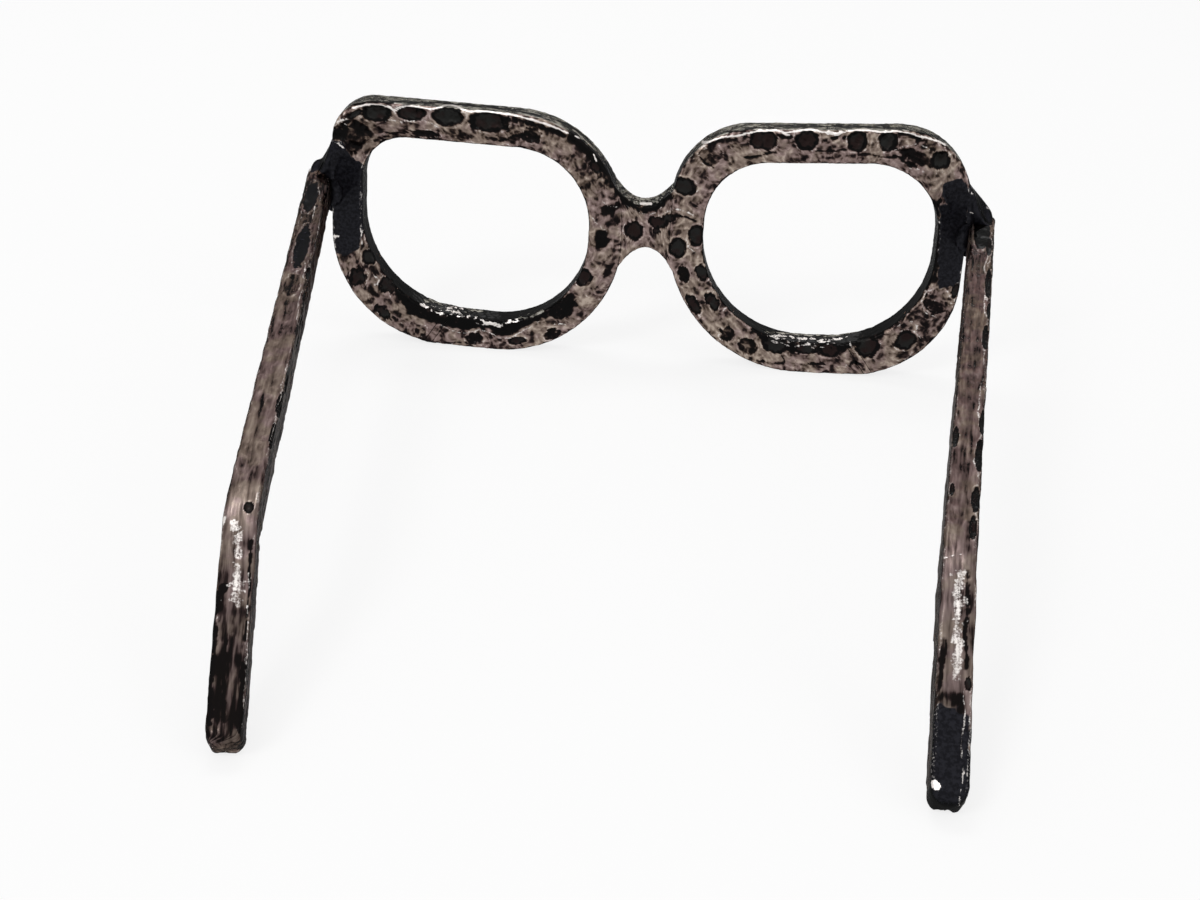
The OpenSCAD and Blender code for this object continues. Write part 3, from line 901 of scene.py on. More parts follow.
@dataclass
class Rim:
    """One rim: a bar bent into a loop round its lens opening, and closed by a welded seam."""

    name: str
    side: int
    span: float
    nose_h: float
    outer_h: float
    rise: float
    lean: float
    radii: tuple[float, float, float, float]
    edge_radii: tuple[float, float, float, float]
    side_w: float
    bar_w: float = 7.8
    bar_t: float = 7.0
    nose_gap: float = 26.3
    foot_cut: float = 0.3
    seam_w: float = 1.6
    seam_at: float = 12.7
    crown: float = 0.1
    lap: float = 0.35
    tuck: float = 0.03
    square_edge: float = 0.12
    calm_from: float = 0.3
    seam_calm: float = 0.15
    seat_low: float = 22.8
    seat_high: float = 42.2
    seat_run: float = 5.0
    ring_mm: float = 0.25
    mid_x: float = 0.0
    back_y: float = 0.0

    def __post_init__(self) -> None:
        """Lay out the two faces of the bar and the rings along it."""
        near = self.nose_gap / 2
        far = near + self.span
        low, high = [far + self.lean, self.rise], [far, self.rise + self.outer_h]
        corners = np.array([[near, 0.0], low, high, [near, self.nose_h]])
        self.inner = Outline(corners, self.radii)
        self.outer = Outline(self.grown(corners), self.edge_radii)
        self.lengths = (self.inner.lengths + self.outer.lengths) / 2
        self.ends = np.concatenate([[0.0], np.cumsum(self.lengths)])
        run = self.ends[-1] - self.seam_w
        self.start = self.lengths[0] + self.seam_at + self.seam_w / 2
        self.s = self.start + np.linspace(0, run, round(run / self.ring_mm) + 1)
        inside, outside = self.pair(self.s)
        self.lift = np.array([0.0, -outside[:, 1].min() - self.foot_cut])
        self.inside, self.outside = inside + self.lift, outside + self.lift

    def grown(self, corners: Array) -> Array:
        """Return the corners of the bar's outer face, a bar's width away from the opening.

        Args:
            corners: the corners of its inner face.

        Returns:
            The corners, one a row.
        """
        ways = unit(np.roll(corners, -1, 0) - corners)
        out = np.stack([ways[:, 1], -ways[:, 0]], 1)
        widths = np.array([self.bar_w, self.side_w, self.bar_w, self.bar_w])
        a, p = np.roll(out, 1, 0), np.roll(widths, 1)[:, None]
        b, q = out, widths[:, None]
        k = (a * b).sum(1)[:, None]
        return corners + (a * (p - q * k) + b * (q - p * k)) / (1 - k * k)

    def pair(self, s: Array) -> tuple[Array, Array]:
        """Return the inside and the outside of the bar at distances along its middle.

        Args:
            s: the distances.

        Returns:
            The points inside, and those outside.
        """
        q = s % self.ends[-1]
        stretch = np.searchsorted(self.ends, q, side="right") - 1
        stretch = np.clip(stretch, 0, len(self.lengths) - 1)
        share = (q - self.ends[stretch]) / self.lengths[stretch]
        return self.inner.at(stretch, share), self.outer.at(stretch, share)

    def placed(self, inside: Array, outside: Array, loops: Array) -> Array:
        """Stand sections up in space.

        Args:
            inside: the inside of the bar at each ring.
            outside: its outside at each ring.
            loops: the section of each ring.

        Returns:
            The rings' points.
        """
        across = unit(outside - inside)
        flat = inside[:, None] + across[:, None] * loops[:, :, :1]
        x = self.side * flat[..., 0] + self.mid_x
        return np.stack([x, loops[:, :, 1] + self.back_y, np.maximum(flat[..., 1], 0)], 2)

    def outer_u(self, joint_z: float, half_h: float) -> float:
        """Return how far out the rim reaches beside its temple's front end."""
        beside = np.abs(self.outside[:, 1] - joint_z) < half_h
        return float(self.outside[beside, 0].max())

    def bar(self, section: BarSection) -> Skin:
        """Make the bar's skin.

        Args:
            section: the bar's section.

        Returns:
            The skin.
        """
        widths = np.linalg.norm(self.outside - self.inside, axis=1)
        # Where the bridge is seated the outer edges are filed square, so that no groove is left.
        z = self.outside[:, 1]
        seat = ramp(z, self.seat_low - self.seat_run, self.seat_low)
        seat = seat * ramp(-z, -self.seat_high - self.seat_run, -self.seat_high)
        seat = seat * (self.outside[:, 0] < self.inner.corners[:, 0].mean())
        edges = section.edge_mm * (1 - seat) + self.square_edge * seat
        zeros = np.zeros(len(widths))
        loops = section.loop(widths, zeros + self.bar_t, zeros, edges)
        rings = self.placed(self.inside, self.outside, loops)
        skin = swept(self.name, rings, self.s, section.around(loops))
        from_end = np.minimum(self.s - self.s[0], self.s[-1] - self.s)
        skin.handled[:-2] = np.repeat((from_end > self.seam_w) * (1 - seat), loops.shape[1])
        skin.calm[:-2] = np.repeat(ramp(from_end, self.calm_from, self.seam_w), loops.shape[1])
        return skin

    def seam(self, section: BarSection, steps: int = 13) -> Skin:
        """Make the skin of the bead that closes the loop and laps over the bar's two ends.

        Args:
            section: the bar's section.
            steps: how many rings the bead has.

        Returns:
            The skin.
        """
        share = np.linspace(0, 1, steps)
        s = self.start + self.lap - (self.seam_w + 2 * self.lap) * (1 - share)
        inside, outside = (p + self.lift for p in self.pair(s))
        proud = self.crown * np.sin(math.pi * share) ** 2 - self.tuck
        across = unit(outside - inside)
        inside = inside - across * proud[:, None]
        outside = outside + across * proud[:, None]
        widths = np.linalg.norm(outside - inside, axis=1)
        loops = section.loop(widths, np.full(steps, self.bar_t), np.zeros(steps))
        deep = 1 + 2 * proud / self.bar_t
        loops[:, :, 1] = loops[:, :, 1] * deep[:, None] - proud[:, None]
        rings = self.placed(inside, outside, loops)
        skin = swept(f"{self.name}_seam", rings, s, section.around(loops))
        skin.handled[:] = 0
        skin.calm[:] = self.seam_calm
        return skin

    def root(self, low: float, high: float) -> tuple[Array, Array]:
        """Return the inside and outside of the rings that the bridge meets, from below upwards.

        Args:
            low: where they begin.
            high: where they end.

        Returns:
            The two rows of points.
        """
        met = (self.outside[:, 0] < self.nose_gap / 2) & (self.outside[:, 1] > low)
        met &= self.outside[:, 1] < high
        inside, outside = self.inside[met], self.outside[met]
        order = np.argsort(outside[:, 1])
        return inside[order], outside[order]


@dataclass
class SaddleBridge:
    """The saddle between the rims, seated on their own curves, with welds in its grooves."""

    left: Rim
    right: Rim
    bridge_z: float = 33.1
    bridge_h: float = 10.2
    root_up: float = 4.0
    root_down: float = 5.2
    edge_leg: float = 0.9
    bead_trim: float = 0.8
    proud: float = 0.015
    dive: float = 0.2
    let_in: float = 0.35
    soften_run: float = 3.5
    grain_share: float = 3.0
    steps: int = 110
    worn_from: float = 1.0
    under_black: float = 0.5
    bead_points: int = 28
    bead_taper: float = 0.4
    bead_flat: int = 4
    bead_ends: tuple[float, float] = (0.04, 0.96)

    def reach(self) -> tuple[float, float]:
        """Return how far down and up the bridge's roots reach."""
        low = self.bridge_z - self.bridge_h / 2 - self.root_down
        return low, self.bridge_z + self.bridge_h / 2 + self.root_up

    def roots(self) -> list[Array]:
        """Return each root's curve in the model's x and z, from below upwards."""
        curves = []
        for rim in (self.left, self.right):
            curve = rim.root(*self.reach())[1].copy()
            curve[:, 0] = rim.side * curve[:, 0] + rim.mid_x
            curves.append(curve)
        return curves

    def at(self, across: Array, up: Array) -> Array:
        """Return points of the saddle in x and z.

        Args:
            across: share of the way from the left root to the right one.
            up: share of the way from the underside to the top.

        Returns:
            The points, in the shape of the two shares.
        """
        roots = []
        for curve in self.roots():
            steps = np.linalg.norm(np.diff(curve, axis=0), axis=1)
            reach = np.concatenate([[0], np.cumsum(steps)])
            share = reach / reach[-1]
            roots.append(np.stack([np.interp(up, share, curve[:, k]) for k in range(2)], -1))
        (l_low, l_high), (r_low, r_high) = ((c[0], c[-1]) for c in self.roots())
        x = 2 * across - 1
        edges = []
        for a, b, mid in (
            (l_low, r_low, self.bridge_z - self.bridge_h / 2),
            (l_high, r_high, self.bridge_z + self.bridge_h / 2),
        ):
            ends = np.where(x < 0, a[1], b[1])
            edges.append(np.stack([a[0] + (b[0] - a[0]) * across, mid + (ends - mid) * x * x], -1))
        f, t = across[..., None], up[..., None]
        corners = (1 - f) * ((1 - t) * l_low + t * l_high) + f * ((1 - t) * r_low + t * r_high)
        ruled = (1 - f) * roots[0] + f * roots[1] + (1 - t) * edges[0] + t * edges[1]
        return ruled - corners

    def saddle(self, section: BarSection) -> Skin:
        """Make the saddle's skin.

        Args:
            section: the bar's section.

        Returns:
            The skin.
        """
        across = np.linspace(0, 1, self.steps)
        low, top = self.at(across, np.zeros(self.steps)), self.at(across, np.ones(self.steps))
        heights = np.linalg.norm(top - low, axis=1)
        from_end = np.minimum(across, 1 - across) * float(low[-1, 0] - low[0, 0])
        square = self.left.square_edge
        edges = square + (section.edge_mm - square) * ramp(from_end, 0.0, self.soften_run)
        depths = np.full(self.steps, self.left.bar_t)
        loops = section.loop(heights, depths, np.zeros(self.steps), edges, edges)
        up = loops[:, :, 0] / heights[:, None]
        flat = self.at(np.broadcast_to(across[:, None], up.shape), up)
        y = loops[:, :, 1] + self.left.back_y
        rings = np.stack([flat[..., 0], y, flat[..., 1]], 2)
        # Each end is let into its rim, under the weld that covers the joint.
        ends = [rings[0] - [self.let_in, 0, 0], rings[-1] + [self.let_in, 0, 0]]
        rings = np.concatenate([ends[:1], rings, ends[1:]])
        long = abs(low[-1, 0] - low[0, 0])
        s = np.concatenate([[-self.let_in], np.linspace(0, long, self.steps), [long + self.let_in]])
        around = section.around(loops)
        skin = swept("bridge", rings, s, np.concatenate([around[:1], around, around[-1:]]))
        ends_off = np.minimum(s, long - s) > self.worn_from
        skin.handled[:-2] = np.repeat(ends_off, loops.shape[1])
        # The saddle was forged across its width as much as along it, so its grain has no run.
        skin.grain[:, 0] *= self.grain_share
        skin.flow = np.insert(skin.points, 3, 0.0, axis=1)
        facing = skin.normals()
        side = sideways(facing)
        # Sides turned up to the light get the painted grey sheen; those turned down keep some black
        # patina
        skin.tones[:, 3] = side * (facing[:, 2] > 0)
        skin.tones[:, 0] = self.under_black * side * (facing[:, 2] < 0)
        skin.calm = 1 - SIDE_CALM * side
        return skin

    def weld(self, rim: Rim, name: str) -> Skin:
        """Make the skins of the two beads in the grooves between the saddle and a rim.

        Args:
            rim: the rim.
            name: the name of the piece.

        Returns:
            Both beads as one skin.
        """
        inside, outside = rim.root(*self.reach())
        across = unit(outside - inside)
        trim = round(self.bead_trim / rim.ring_mm)
        outside, across = outside[trim:-trim], across[trim:-trim]
        turn = np.linspace(0, 2 * math.pi, self.bead_points, endpoint=False)
        share = np.linspace(*self.bead_ends, len(outside))
        taper = np.sin(np.pi * share) ** self.bead_taper
        beads = []
        for face in (0, 1):
            a = self.edge_leg * taper[:, None] * np.cos(turn)
            # The back of the lens is just proud of the joint, and its edges dive under the faces.
            top = -self.proud + (self.proud + self.dive) * np.cos(turn) ** self.bead_flat
            b = np.where(np.sin(turn) > 0, top, self.dive + self.edge_leg * -np.sin(turn))
            flat = outside[:, None] + across[:, None] * a[:, :, None]
            y = np.broadcast_to(rim.bar_t - b if face else b, flat.shape[:2])
            x = rim.side * flat[..., 0] + rim.mid_x
            rings = np.stack([x, y + rim.back_y, flat[..., 1]], 2)
            s = np.linspace(0, len(rings) * rim.ring_mm, len(rings))
            beads.append(swept(name, rings, s, np.broadcast_to(turn, rings.shape[:2])))
        shift = len(beads[0].points)
        faces = beads[0].faces + [f + shift for f in beads[1].faces]
        points = np.concatenate([b.points for b in beads])
        skin = Skin(name, points, faces, points.copy(), np.concatenate([b.along for b in beads]))
        skin.handled[:] = 0
        return skin


@dataclass
class Temple:
    """One temple: a straight bar that falls and turns in, an ear bend and the ear part."""

    name: str
    rim: Rim
    length: float
    turn_in: float
    ear_in: float
    joint_z: float = 36.9
    front_w: float = 5.6
    bar_w: float = 5.8
    bar_h: float = 7.0
    fall: float = 6.3
    ear_fall: float = 30.4
    bend_r: float = 22.5
    tip_round: float = 1.4
    foot_cut: float = 0.3
    set_back: float = 0.3
    joint_gap: float = 0.1
    ring_mm: float = 0.3
    end_soft: float = 0.8
    end_blur: int = 25
    tip_blur: int = 50
    round_steps: int = 8
    # How far the rings on an end face are drawn to its middle
    end_insets: tuple[float, ...] = (0.12, 0.3, 0.5, 0.7, 0.85)
    # Where the softening of an end begins to fade and is over, in units of tip_round
    soft_from: float = 0.5
    end_soft_to: float = 1.5
    tip_soft_to: float = 2.2

    def ends(self) -> tuple[float, float, float]:
        """Return where the straight part, the bend and the ear end, along the bar."""
        fall, ear = math.radians(self.fall), math.radians(self.ear_fall)
        bend = self.bend_r * (ear - fall)
        mean = (math.cos(fall) - math.cos(ear)) / (ear - fall)
        drop = self.joint_z + self.foot_cut - self.bar_h / 2 * math.cos(ear)
        drop -= self.length * math.sin(fall) + bend * mean
        tip = self.length + bend + drop / math.sin(ear) + self.tip_round
        return self.length, self.length + bend, tip

    def angles(self, s: Array) -> tuple[Array, Array]:
        """Return how far the bar turns in and falls at distances along it, in radians.

        Args:
            s: the distances.

        Returns:
            The turns and the falls.
        """
        straight, bend, _ = self.ends()
        share = np.clip((s - straight) / (bend - straight), 0, 1)
        turn = self.turn_in + (self.ear_in - self.turn_in) * share
        fall = self.fall + (self.ear_fall - self.fall) * share
        return np.radians(turn), np.radians(fall)

    def way(self, s: Array) -> Array:
        """Return the bar's direction at distances along it.

        Args:
            s: the distances.

        Returns:
            The directions, one a row.
        """
        turn, fall = self.angles(s)
        side = self.rim.side
        return np.stack(
            [-side * np.sin(turn) * np.cos(fall), -np.cos(turn) * np.cos(fall), -np.sin(fall)], 1
        )

    def bar(self, section: BarSection) -> Skin:
        """Make the bar's skin.

        Args:
            section: the bar's section.

        Returns:
            The skin.
        """
        straight, _, tip = self.ends()
        r = self.tip_round
        near = r * (1 - np.cos(np.linspace(0, math.pi / 2, self.round_steps)[1:]))
        middle = np.linspace(r, tip - r, round((tip - 2 * r) / self.ring_mm))
        s = np.concatenate([[0], near[:-1], middle, (tip - near[:-1])[::-1], [tip]])
        side = self.rim.side
        front_y = self.rim.bar_t - self.set_back
        turn = math.radians(self.turn_in)
        reach = self.rim.outer_u(self.joint_z, self.bar_h / 2) + self.joint_gap
        reach += front_y * math.tan(turn) + self.front_w / 2 / math.cos(turn)
        start = [side * reach + self.rim.mid_x, front_y + self.rim.back_y, self.joint_z]
        steps = np.diff(s)[:, None] * self.way((s[1:] + s[:-1]) / 2)
        line = np.array(start) + np.concatenate([np.zeros((1, 3)), np.cumsum(steps, 0)])
        end_gap = np.clip(r - np.minimum(s, tip - s), 0, r)
        drawn = r - np.sqrt(r * r - end_gap * end_gap)
        widths = self.front_w + (self.bar_w - self.front_w) * np.minimum(1, s / straight)
        loops = section.loop(widths, np.full(len(s), self.bar_h), drawn)
        # The loop's own seam goes to the underside, where it is out of sight.
        loops[:, :, 1] = self.bar_h - loops[:, :, 1]
        turns, falls = self.angles(s)
        zero = np.zeros(len(s))
        out = np.stack([side * np.cos(turns), -np.sin(turns), zero], 1)
        sunk = np.sin(falls)
        up = np.stack([-side * np.sin(turns) * sunk, -np.cos(turns) * sunk, np.cos(falls)], 1)
        across = (loops[:, :, 0] - widths[:, None] / 2)[:, :, None]
        high = (loops[:, :, 1] - self.bar_h / 2)[:, :, None]
        rings = line[:, None] + across * out[:, None] + high * up[:, None]
        rings[:, :, 2] = np.maximum(rings[:, :, 2], 0)
        skin = swept(self.name, rings, s, section.around(loops), self.end_insets)
        # The front end is ground to a soft dome, and the tip rounder still.
        from_start = skin.grain[:, 0]
        for from_end, blur, reach in (
            (from_start, self.end_blur, self.end_soft_to * r),
            (tip - from_start, self.tip_blur, self.tip_soft_to * r),
        ):
            soft = self.end_soft * (1 - ramp(from_end, self.soft_from * r, reach))[:, None]
            skin.points += soft * (skin.blurred(skin.points, blur) - skin.points)
        return skin


@dataclass(frozen=True)
class WeldLump:
    """Weld metal run into a corner and ground smooth, on the form of its solid."""

    node: str
    rim: Rim
    bead_z: float = 36.2
    bead_reach: float = 3.6
    bead_half_h: float = 4.4
    bead_stretch: float = 1.3
    bead_keep: float = 0.15
    fill_foot_z: float = 40.25
    fill_front_y: float = 83.7
    fill_fall: float = 0.11
    fill_spread: float = 1.3
    fill_lap: float = 0.9
    fill_end_y: float = 82.9
    fill_sink: float = 1.0
    temple_x: float = 78.88
    temple_lean: float = 0.14
    temple_edge: float = 0.5
    edge_half_h: float = 3.0
    bead_power: float = 1.2
    bead_proud: float = 0.05
    lap_run: float = 4.0
    # The fill thins out over the first stretch outwards from the rim, but not in front of the next
    thin_out: tuple[float, float] = (0.5, 4.5)
    thin_front: tuple[float, float] = (1.2, 5.5)
    sink_run: float = 2.2
    voxel_mm: float = 0.3
    soften: int = 14
    swell_mm: float = 0.42

    def skin(self, solid: bpy.types.Object) -> Skin:
        """Make the weld's skin.

        Args:
            solid: the solid model's object of this weld.

        Returns:
            The softened skin.
        """
        source = put("weld_form", solid.data.copy())
        remesh = source.modifiers.new("even", "REMESH")
        remesh.mode = "VOXEL"
        remesh.voxel_size = self.voxel_mm * MM
        mesh = source.evaluated_get(bpy.context.evaluated_depsgraph_get()).to_mesh()
        points = np.empty(len(mesh.vertices) * 3, np.float32)
        mesh.vertices.foreach_get("co", points)
        points = points.reshape(-1, 3).astype(float) / MM
        faces = np.array([list(p.vertices) for p in mesh.polygons if len(p.vertices) == 4])
        form = source.data
        bpy.data.objects.remove(source)
        bpy.data.meshes.remove(form)
        along = np.tile([0.0, 0.0, 1.0], (len(points), 1))
        lump = Skin(self.node, points, [faces], points.copy(), along)
        lump.points = lump.blurred(lump.points, self.soften)
        lump.points = lump.points + lump.normals() * self.swell_mm
        self.level(lump.points)
        return lump

    def level(self, points: Array) -> None:
        """Bring the weld flush with the rim's back, and run its bead out over it.

        Args:
            points: the weld's points, which are moved.
        """
        x, y, z = points.T
        edge = self.rim.outer_u(self.bead_z, self.edge_half_h)
        out = self.rim.side * (x - self.rim.mid_x) - edge
        if "corner" in self.node:
            behind = self.rim.back_y - y
            bead = behind > 0
            reach = np.clip(-out / self.bead_reach, 0, 1)
            high = np.clip(np.abs(z - self.bead_z) / self.bead_half_h, 0, 1)
            inner = np.clip(1 - np.hypot(reach, high), 0, 1)
            keep = self.bead_keep * inner**self.bead_power
            proud = self.rim.back_y + self.bead_proud
            points[:, 1] = np.where(bead, proud - behind * keep, y)
            stretched = self.bead_z + (z - self.bead_z) * self.bead_stretch
            points[:, 2] = np.where(bead, stretched, z)
        else:
            middle = (y.min() + y.max()) / 2
            spread = np.where(y < middle, self.fill_spread, 1.0)
            points[:, 1] = np.minimum(middle + (y - middle) * spread, self.fill_end_y)
            near = 1 - ramp(out, 0.0, self.lap_run)
            # The cap ends inside the temple's outer side.
            limit = self.temple_x - self.temple_lean * (self.fill_front_y - y) - self.temple_edge
            reach = self.rim.side * x - self.fill_lap * near
            points[:, 0] = self.rim.side * np.minimum(reach, limit)
            # Away from the rim the fill thins out over the temple, towards the back.
            low, high = (self.rim.back_y + y_mm for y_mm in self.thin_front)
            thin = ramp(out, *self.thin_out) * (1 - ramp(y, low, high))
            foot = self.fill_foot_z - self.fill_fall * (self.fill_front_y - y)
            over = np.maximum(z - foot, 0)
            sunk = self.fill_sink * (1 - ramp(z, foot, foot + self.sink_run))
            points[:, 2] = z - over * thin - sunk


def add_node(
    tree: bpy.types.NodeTree,
    kind: str,
    settings: dict[str, Any] | None = None,
    links: dict[Any, Any] | None = None,
) -> bpy.types.Node:
    """Add a node with its settings, values and links.

    Args:
        tree: the material's or world's node tree.
        kind: Blender's name for the node, without "ShaderNode" before it.
        settings: properties of the node.
        links: for each input a socket to link it to, or its value.

    Returns:
        The new node.
    """
    node = tree.nodes.new("ShaderNode" + kind)
    for name, value in (settings or {}).items():
        setattr(node, name, value)
    for name, value in (links or {}).items():
        if isinstance(value, bpy.types.NodeSocket):
            tree.links.new(value, node.inputs[name])
        else:
            node.inputs[name].default_value = value
    return node


def empty_tree(owner: bpy.types.Material | bpy.types.World) -> bpy.types.NodeTree:
    """Switch an owner's nodes on and return its empty tree.

    Args:
        owner: the material or the world.

    Returns:
        The tree.
    """
    owner.use_nodes = True
    owner.node_tree.nodes.clear()
    return owner.node_tree


def shown_ray(tree: bpy.types.NodeTree) -> bpy.types.NodeSocket:
    """Return a socket that is 1 for rays that show a thing: straight, mirrored or through glass.

    Args:
        tree: the node tree.

    Returns:
        The socket.
    """
    rays = add_node(tree, "LightPath").outputs
    shown = rays["Is Camera Ray"]
    for kind in ("Is Glossy Ray", "Is Transmission Ray"):
        values = {0: shown, 1: rays[kind]}
        shown = add_node(tree, "Math", {"operation": "MAXIMUM"}, values).outputs[0]
    return shown


@dataclass(frozen=True)
class HammeredSteel:
    """Mild steel bar, forged black, darkened with patina, rubbed back and lacquered.

    The patina stays brown-black in every hollow of the crumpled faces, and this darkening of the
    hollows also paints the shade of the relief; the rubbed ridges show grey metal with a warm brown
    cast, and clear lacquer gives the whole a soft gloss.
    """

    name: str = "hammered_steel"
    # From the deepest hollow to the most rubbed ridge, darkest in the hollows for patina and for
    # painted shade of the relief: where each colour stands, and the colour
    rub_and_shade_colours: tuple[tuple[float, str], ...] = (
        (0.30, "#100c0c"),
        (0.37, "#2c2322"),
        (0.42, "#564943"),
        (0.47, "#756762"),
        (0.56, "#8b7c77"),
        (0.68, "#b4a6a0"),
    )
    patina: str = "#090808"
    maroon: str = "#211716"
    slate: str = "#20201f"
    # The bright colour is rubbed metal, and also painted highlights, glints and reflections
    bright: str = "#e7e1dd"
    ground_dark: str = "#141418"
    ground_light: str = "#212126"
    # The grey of the painted sheen on faces turned up to the light
    sheen_grey_dark: str = "#3e3c39"
    sheen_grey_light: str = "#a3a098"
    mauve: str = "#fff7f9"
    olive: str = "#faf8ed"
    torn_long_mm: float = 2.8
    torn_wide_mm: float = 1.8
    torn_swirl: float = 0.7
    whole_low: float = 0.1
    whole_high: float = 0.32
    mottle_mm: float = 2.5
    mottle_drawn: float = 1.0
    fleck_mm: float = 0.7
    pit_mm: float = 0.35
    cloud_mm: float = 5.0
    lay_share: float = 0.32
    mottle_share: float = 0.36
    bump_mm: float = 0.1
    cloud_share: float = 0.05
    edge_tint: str = "#2e2c2b"
    lacquer: float = 0.09
    lacquer_rough: float = 0.13
    mottle_swirl: float = 0.6
    noise_rough: float = 0.62
    print_dark: float = 0.4
    print_ragged: float = 0.9
    chip_share: float = 0.5
    pit_share: float = 0.35
    shine_low: float = 0.78
    shine_high: float = 1.02
    hollow_rough: float = 0.5
    ridge_rough: float = 0.3
    ground_bump: float = 0.25

    def patterns(self, tree: bpy.types.NodeTree, grain: bpy.types.NodeSocket) -> dict[str, Any]:
        """Lay out the random patterns of the metal.

        Args:
            tree: the material's node tree.
            grain: each point's distances along and around its bar, in millimetres.

        Returns:
            The patterns by name.
        """
        place = add_node(tree, "TexCoord").outputs["Object"]
        # Object coordinates are in metres; patterns are scaled in millimetres.
        in_mm = (place, (1 / MM,) * 3)
        combed = (grain, (1 / self.torn_long_mm, 1 / self.torn_wide_mm, 0))
        mottled = (grain, (1 / self.mottle_drawn, 1, 0)) if self.mottle_drawn > 1 else in_mm
        noises = {}
        for kind, (source, scale), length, detail, swirl in (
            ("torn", combed, 1.0, 3.0, self.torn_swirl),
            ("mottle", mottled, self.mottle_mm, 3.5, self.mottle_swirl),
            ("clouds", in_mm, self.cloud_mm, 2.0, 0.0),
            ("flecks", in_mm, self.fleck_mm, 3.0, 0.0),
            ("pits", in_mm, self.pit_mm, 2.0, 0.0),
        ):
            vector = add_node(
                tree, "VectorMath", {"operation": "MULTIPLY"}, {0: source, 1: scale}
            )
            values = {"Vector": vector.outputs[0], "Scale": 1 / length, "Detail": detail}
            values |= {"Roughness": self.noise_rough, "Distortion": swirl}
            noises[kind] = add_node(tree, "TexNoise", {}, values).outputs["Fac"]
        return noises

    def terms(self, tree: bpy.types.NodeTree) -> dict[str, Any]:
        """Work out every share that the colours and the surface need.

        Args:
            tree: the material's node tree.

        Returns:
            The shares by name.
        """
        wear, grain = (
            add_node(tree, "Attribute", {"attribute_name": name})
            for name in ("wear", "grain")
        )
        split = add_node(tree, "SeparateColor", {}, {0: wear.outputs["Color"]})
        lay = add_node(tree, "SeparateXYZ", {}, {0: grain.outputs["Vector"]})
        terms = self.patterns(tree, grain.outputs["Vector"])
        terms |= {"nothing": 0.0, "lay": lay.outputs["Z"], "painted_sheen": wear.outputs["Alpha"]}
        terms |= dict(zip(("black", "pale", "ground"), split.outputs))
        # Each of these is one term times its share, on top of another. The rubbing share is how far a
        # spot is
        # rubbed: the lie of the metal, its mottling and its torn grain; through the lie it also paints
        # the relief's shade, darker in the hollows.
        for name, term, share, base in (
            ("torn_part", "torn", 1 - self.lay_share - self.mottle_share, "nothing"),
            ("mottle_part", "mottle", self.mottle_share, "torn_part"),
            ("rub_and_shade", "lay", self.lay_share, "mottle_part"),
            ("darker", "black", -self.print_dark, "rub_and_shade"),
            ("ragged", "rub_and_shade", -self.print_ragged, "black"),
            ("chipped", "pits", self.chip_share, "pale"),
            ("broken", "torn", self.chip_share, "chipped"),
            ("relief", "pits", self.pit_share, "rub_and_shade"),
        ):
            values = {0: terms[term], 1: share, 2: terms[base]}
            node = add_node(tree, "Math", {"operation": "MULTIPLY_ADD"}, values)
            terms[name] = node.outputs[0]
        # Each of these takes one term from a range of its own, smoothly to 0 and 1 or evenly to
        # the two values that are given.
        for name, term, low, high, *ends in (
            ("clouded", "clouds", 0.3, 0.7, -self.cloud_share, self.cloud_share),
            ("cloudy", "clouds", 0.42, 0.6),
            ("core", "black", 0.8, 1.0),
            ("worn", "torn", 0.36, 0.64),
            ("flecked", "flecks", 0.4, 0.6),
            ("smooth", "ground", 0.3, 0.7),
            ("grey", "painted_sheen", 0.3, 0.7),
            ("whole", "ragged", self.whole_low, self.whole_high),
            ("shine", "broken", self.shine_low, self.shine_high),
            ("rough", "rub_and_shade", 0.35, 0.65, self.hollow_rough, self.ridge_rough),
            ("calm", "ground", 0.0, 1.0, 1.0, self.ground_bump),
        ):
            values = {"Value": terms[term], "From Min": low, "From Max": high}
            values |= dict(zip(("To Min", "To Max"), ends))
            kind = "LINEAR" if ends else "SMOOTHSTEP"
            node = add_node(tree, "MapRange", {"interpolation_type": kind}, values)
            terms[name] = node.outputs[0]
        return terms

    def colour(self, tree: bpy.types.NodeTree, terms: dict[str, Any]) -> bpy.types.NodeSocket:
        """Work out the metal's colour.

        Args:
            tree: the material's node tree.
            terms: the shares by name.

        Returns:
            The socket with the colour.
        """
        shade = add_node(tree, "Math", {}, {0: terms["darker"], 1: terms["clouded"]})
        faces = add_node(tree, "ValToRGB", {}, {0: shade.outputs[0]})
        stops = faces.color_ramp.elements
        while len(stops) < len(self.rub_and_shade_colours):
            stops.new(1.0)
        for stop, (position, colour) in zip(stops, self.rub_and_shade_colours):
            stop.position, stop.color = position, linear(colour)
        mixed = {"data_type": "RGBA"}
        own = {"shine": linear(self.bright)}
        # In a hammer's print the patina is whole, black round a maroon or slate middle.
        for name, between, one, other in (
            ("cast", "cloudy", self.mauve, self.olive),
            ("polished", "cloudy", self.maroon, self.slate),
            # The painted grey sheen, mottled
            ("grey", "worn", self.sheen_grey_dark, self.sheen_grey_light),
            ("whole", "core", self.patina, "polished"),
            ("smooth", "flecked", self.ground_dark, self.ground_light),
        ):
            last = own[other] if other in own else linear(other)
            values = {0: terms[between], 6: linear(one), 7: last}
            own[name] = add_node(tree, "Mix", mixed, values).outputs[2]
        values = {0: 1.0, 6: faces.outputs[0], 7: own["cast"]}
        settings = mixed | {"blend_type": "MULTIPLY"}
        socket = add_node(tree, "Mix", settings, values).outputs[2]
        # First the painted grey sheen, then the patina and the ground metal. Crests and scratches come
        # last, rubbed to bright metal in short broken lengths, and the same bright layer paints
        # highlights and glints.
        for name in ("grey", "whole", "smooth", "shine"):
            values = {0: terms[name], 6: socket, 7: own[name]}
            socket = add_node(tree, "Mix", mixed, values).outputs[2]
        return socket

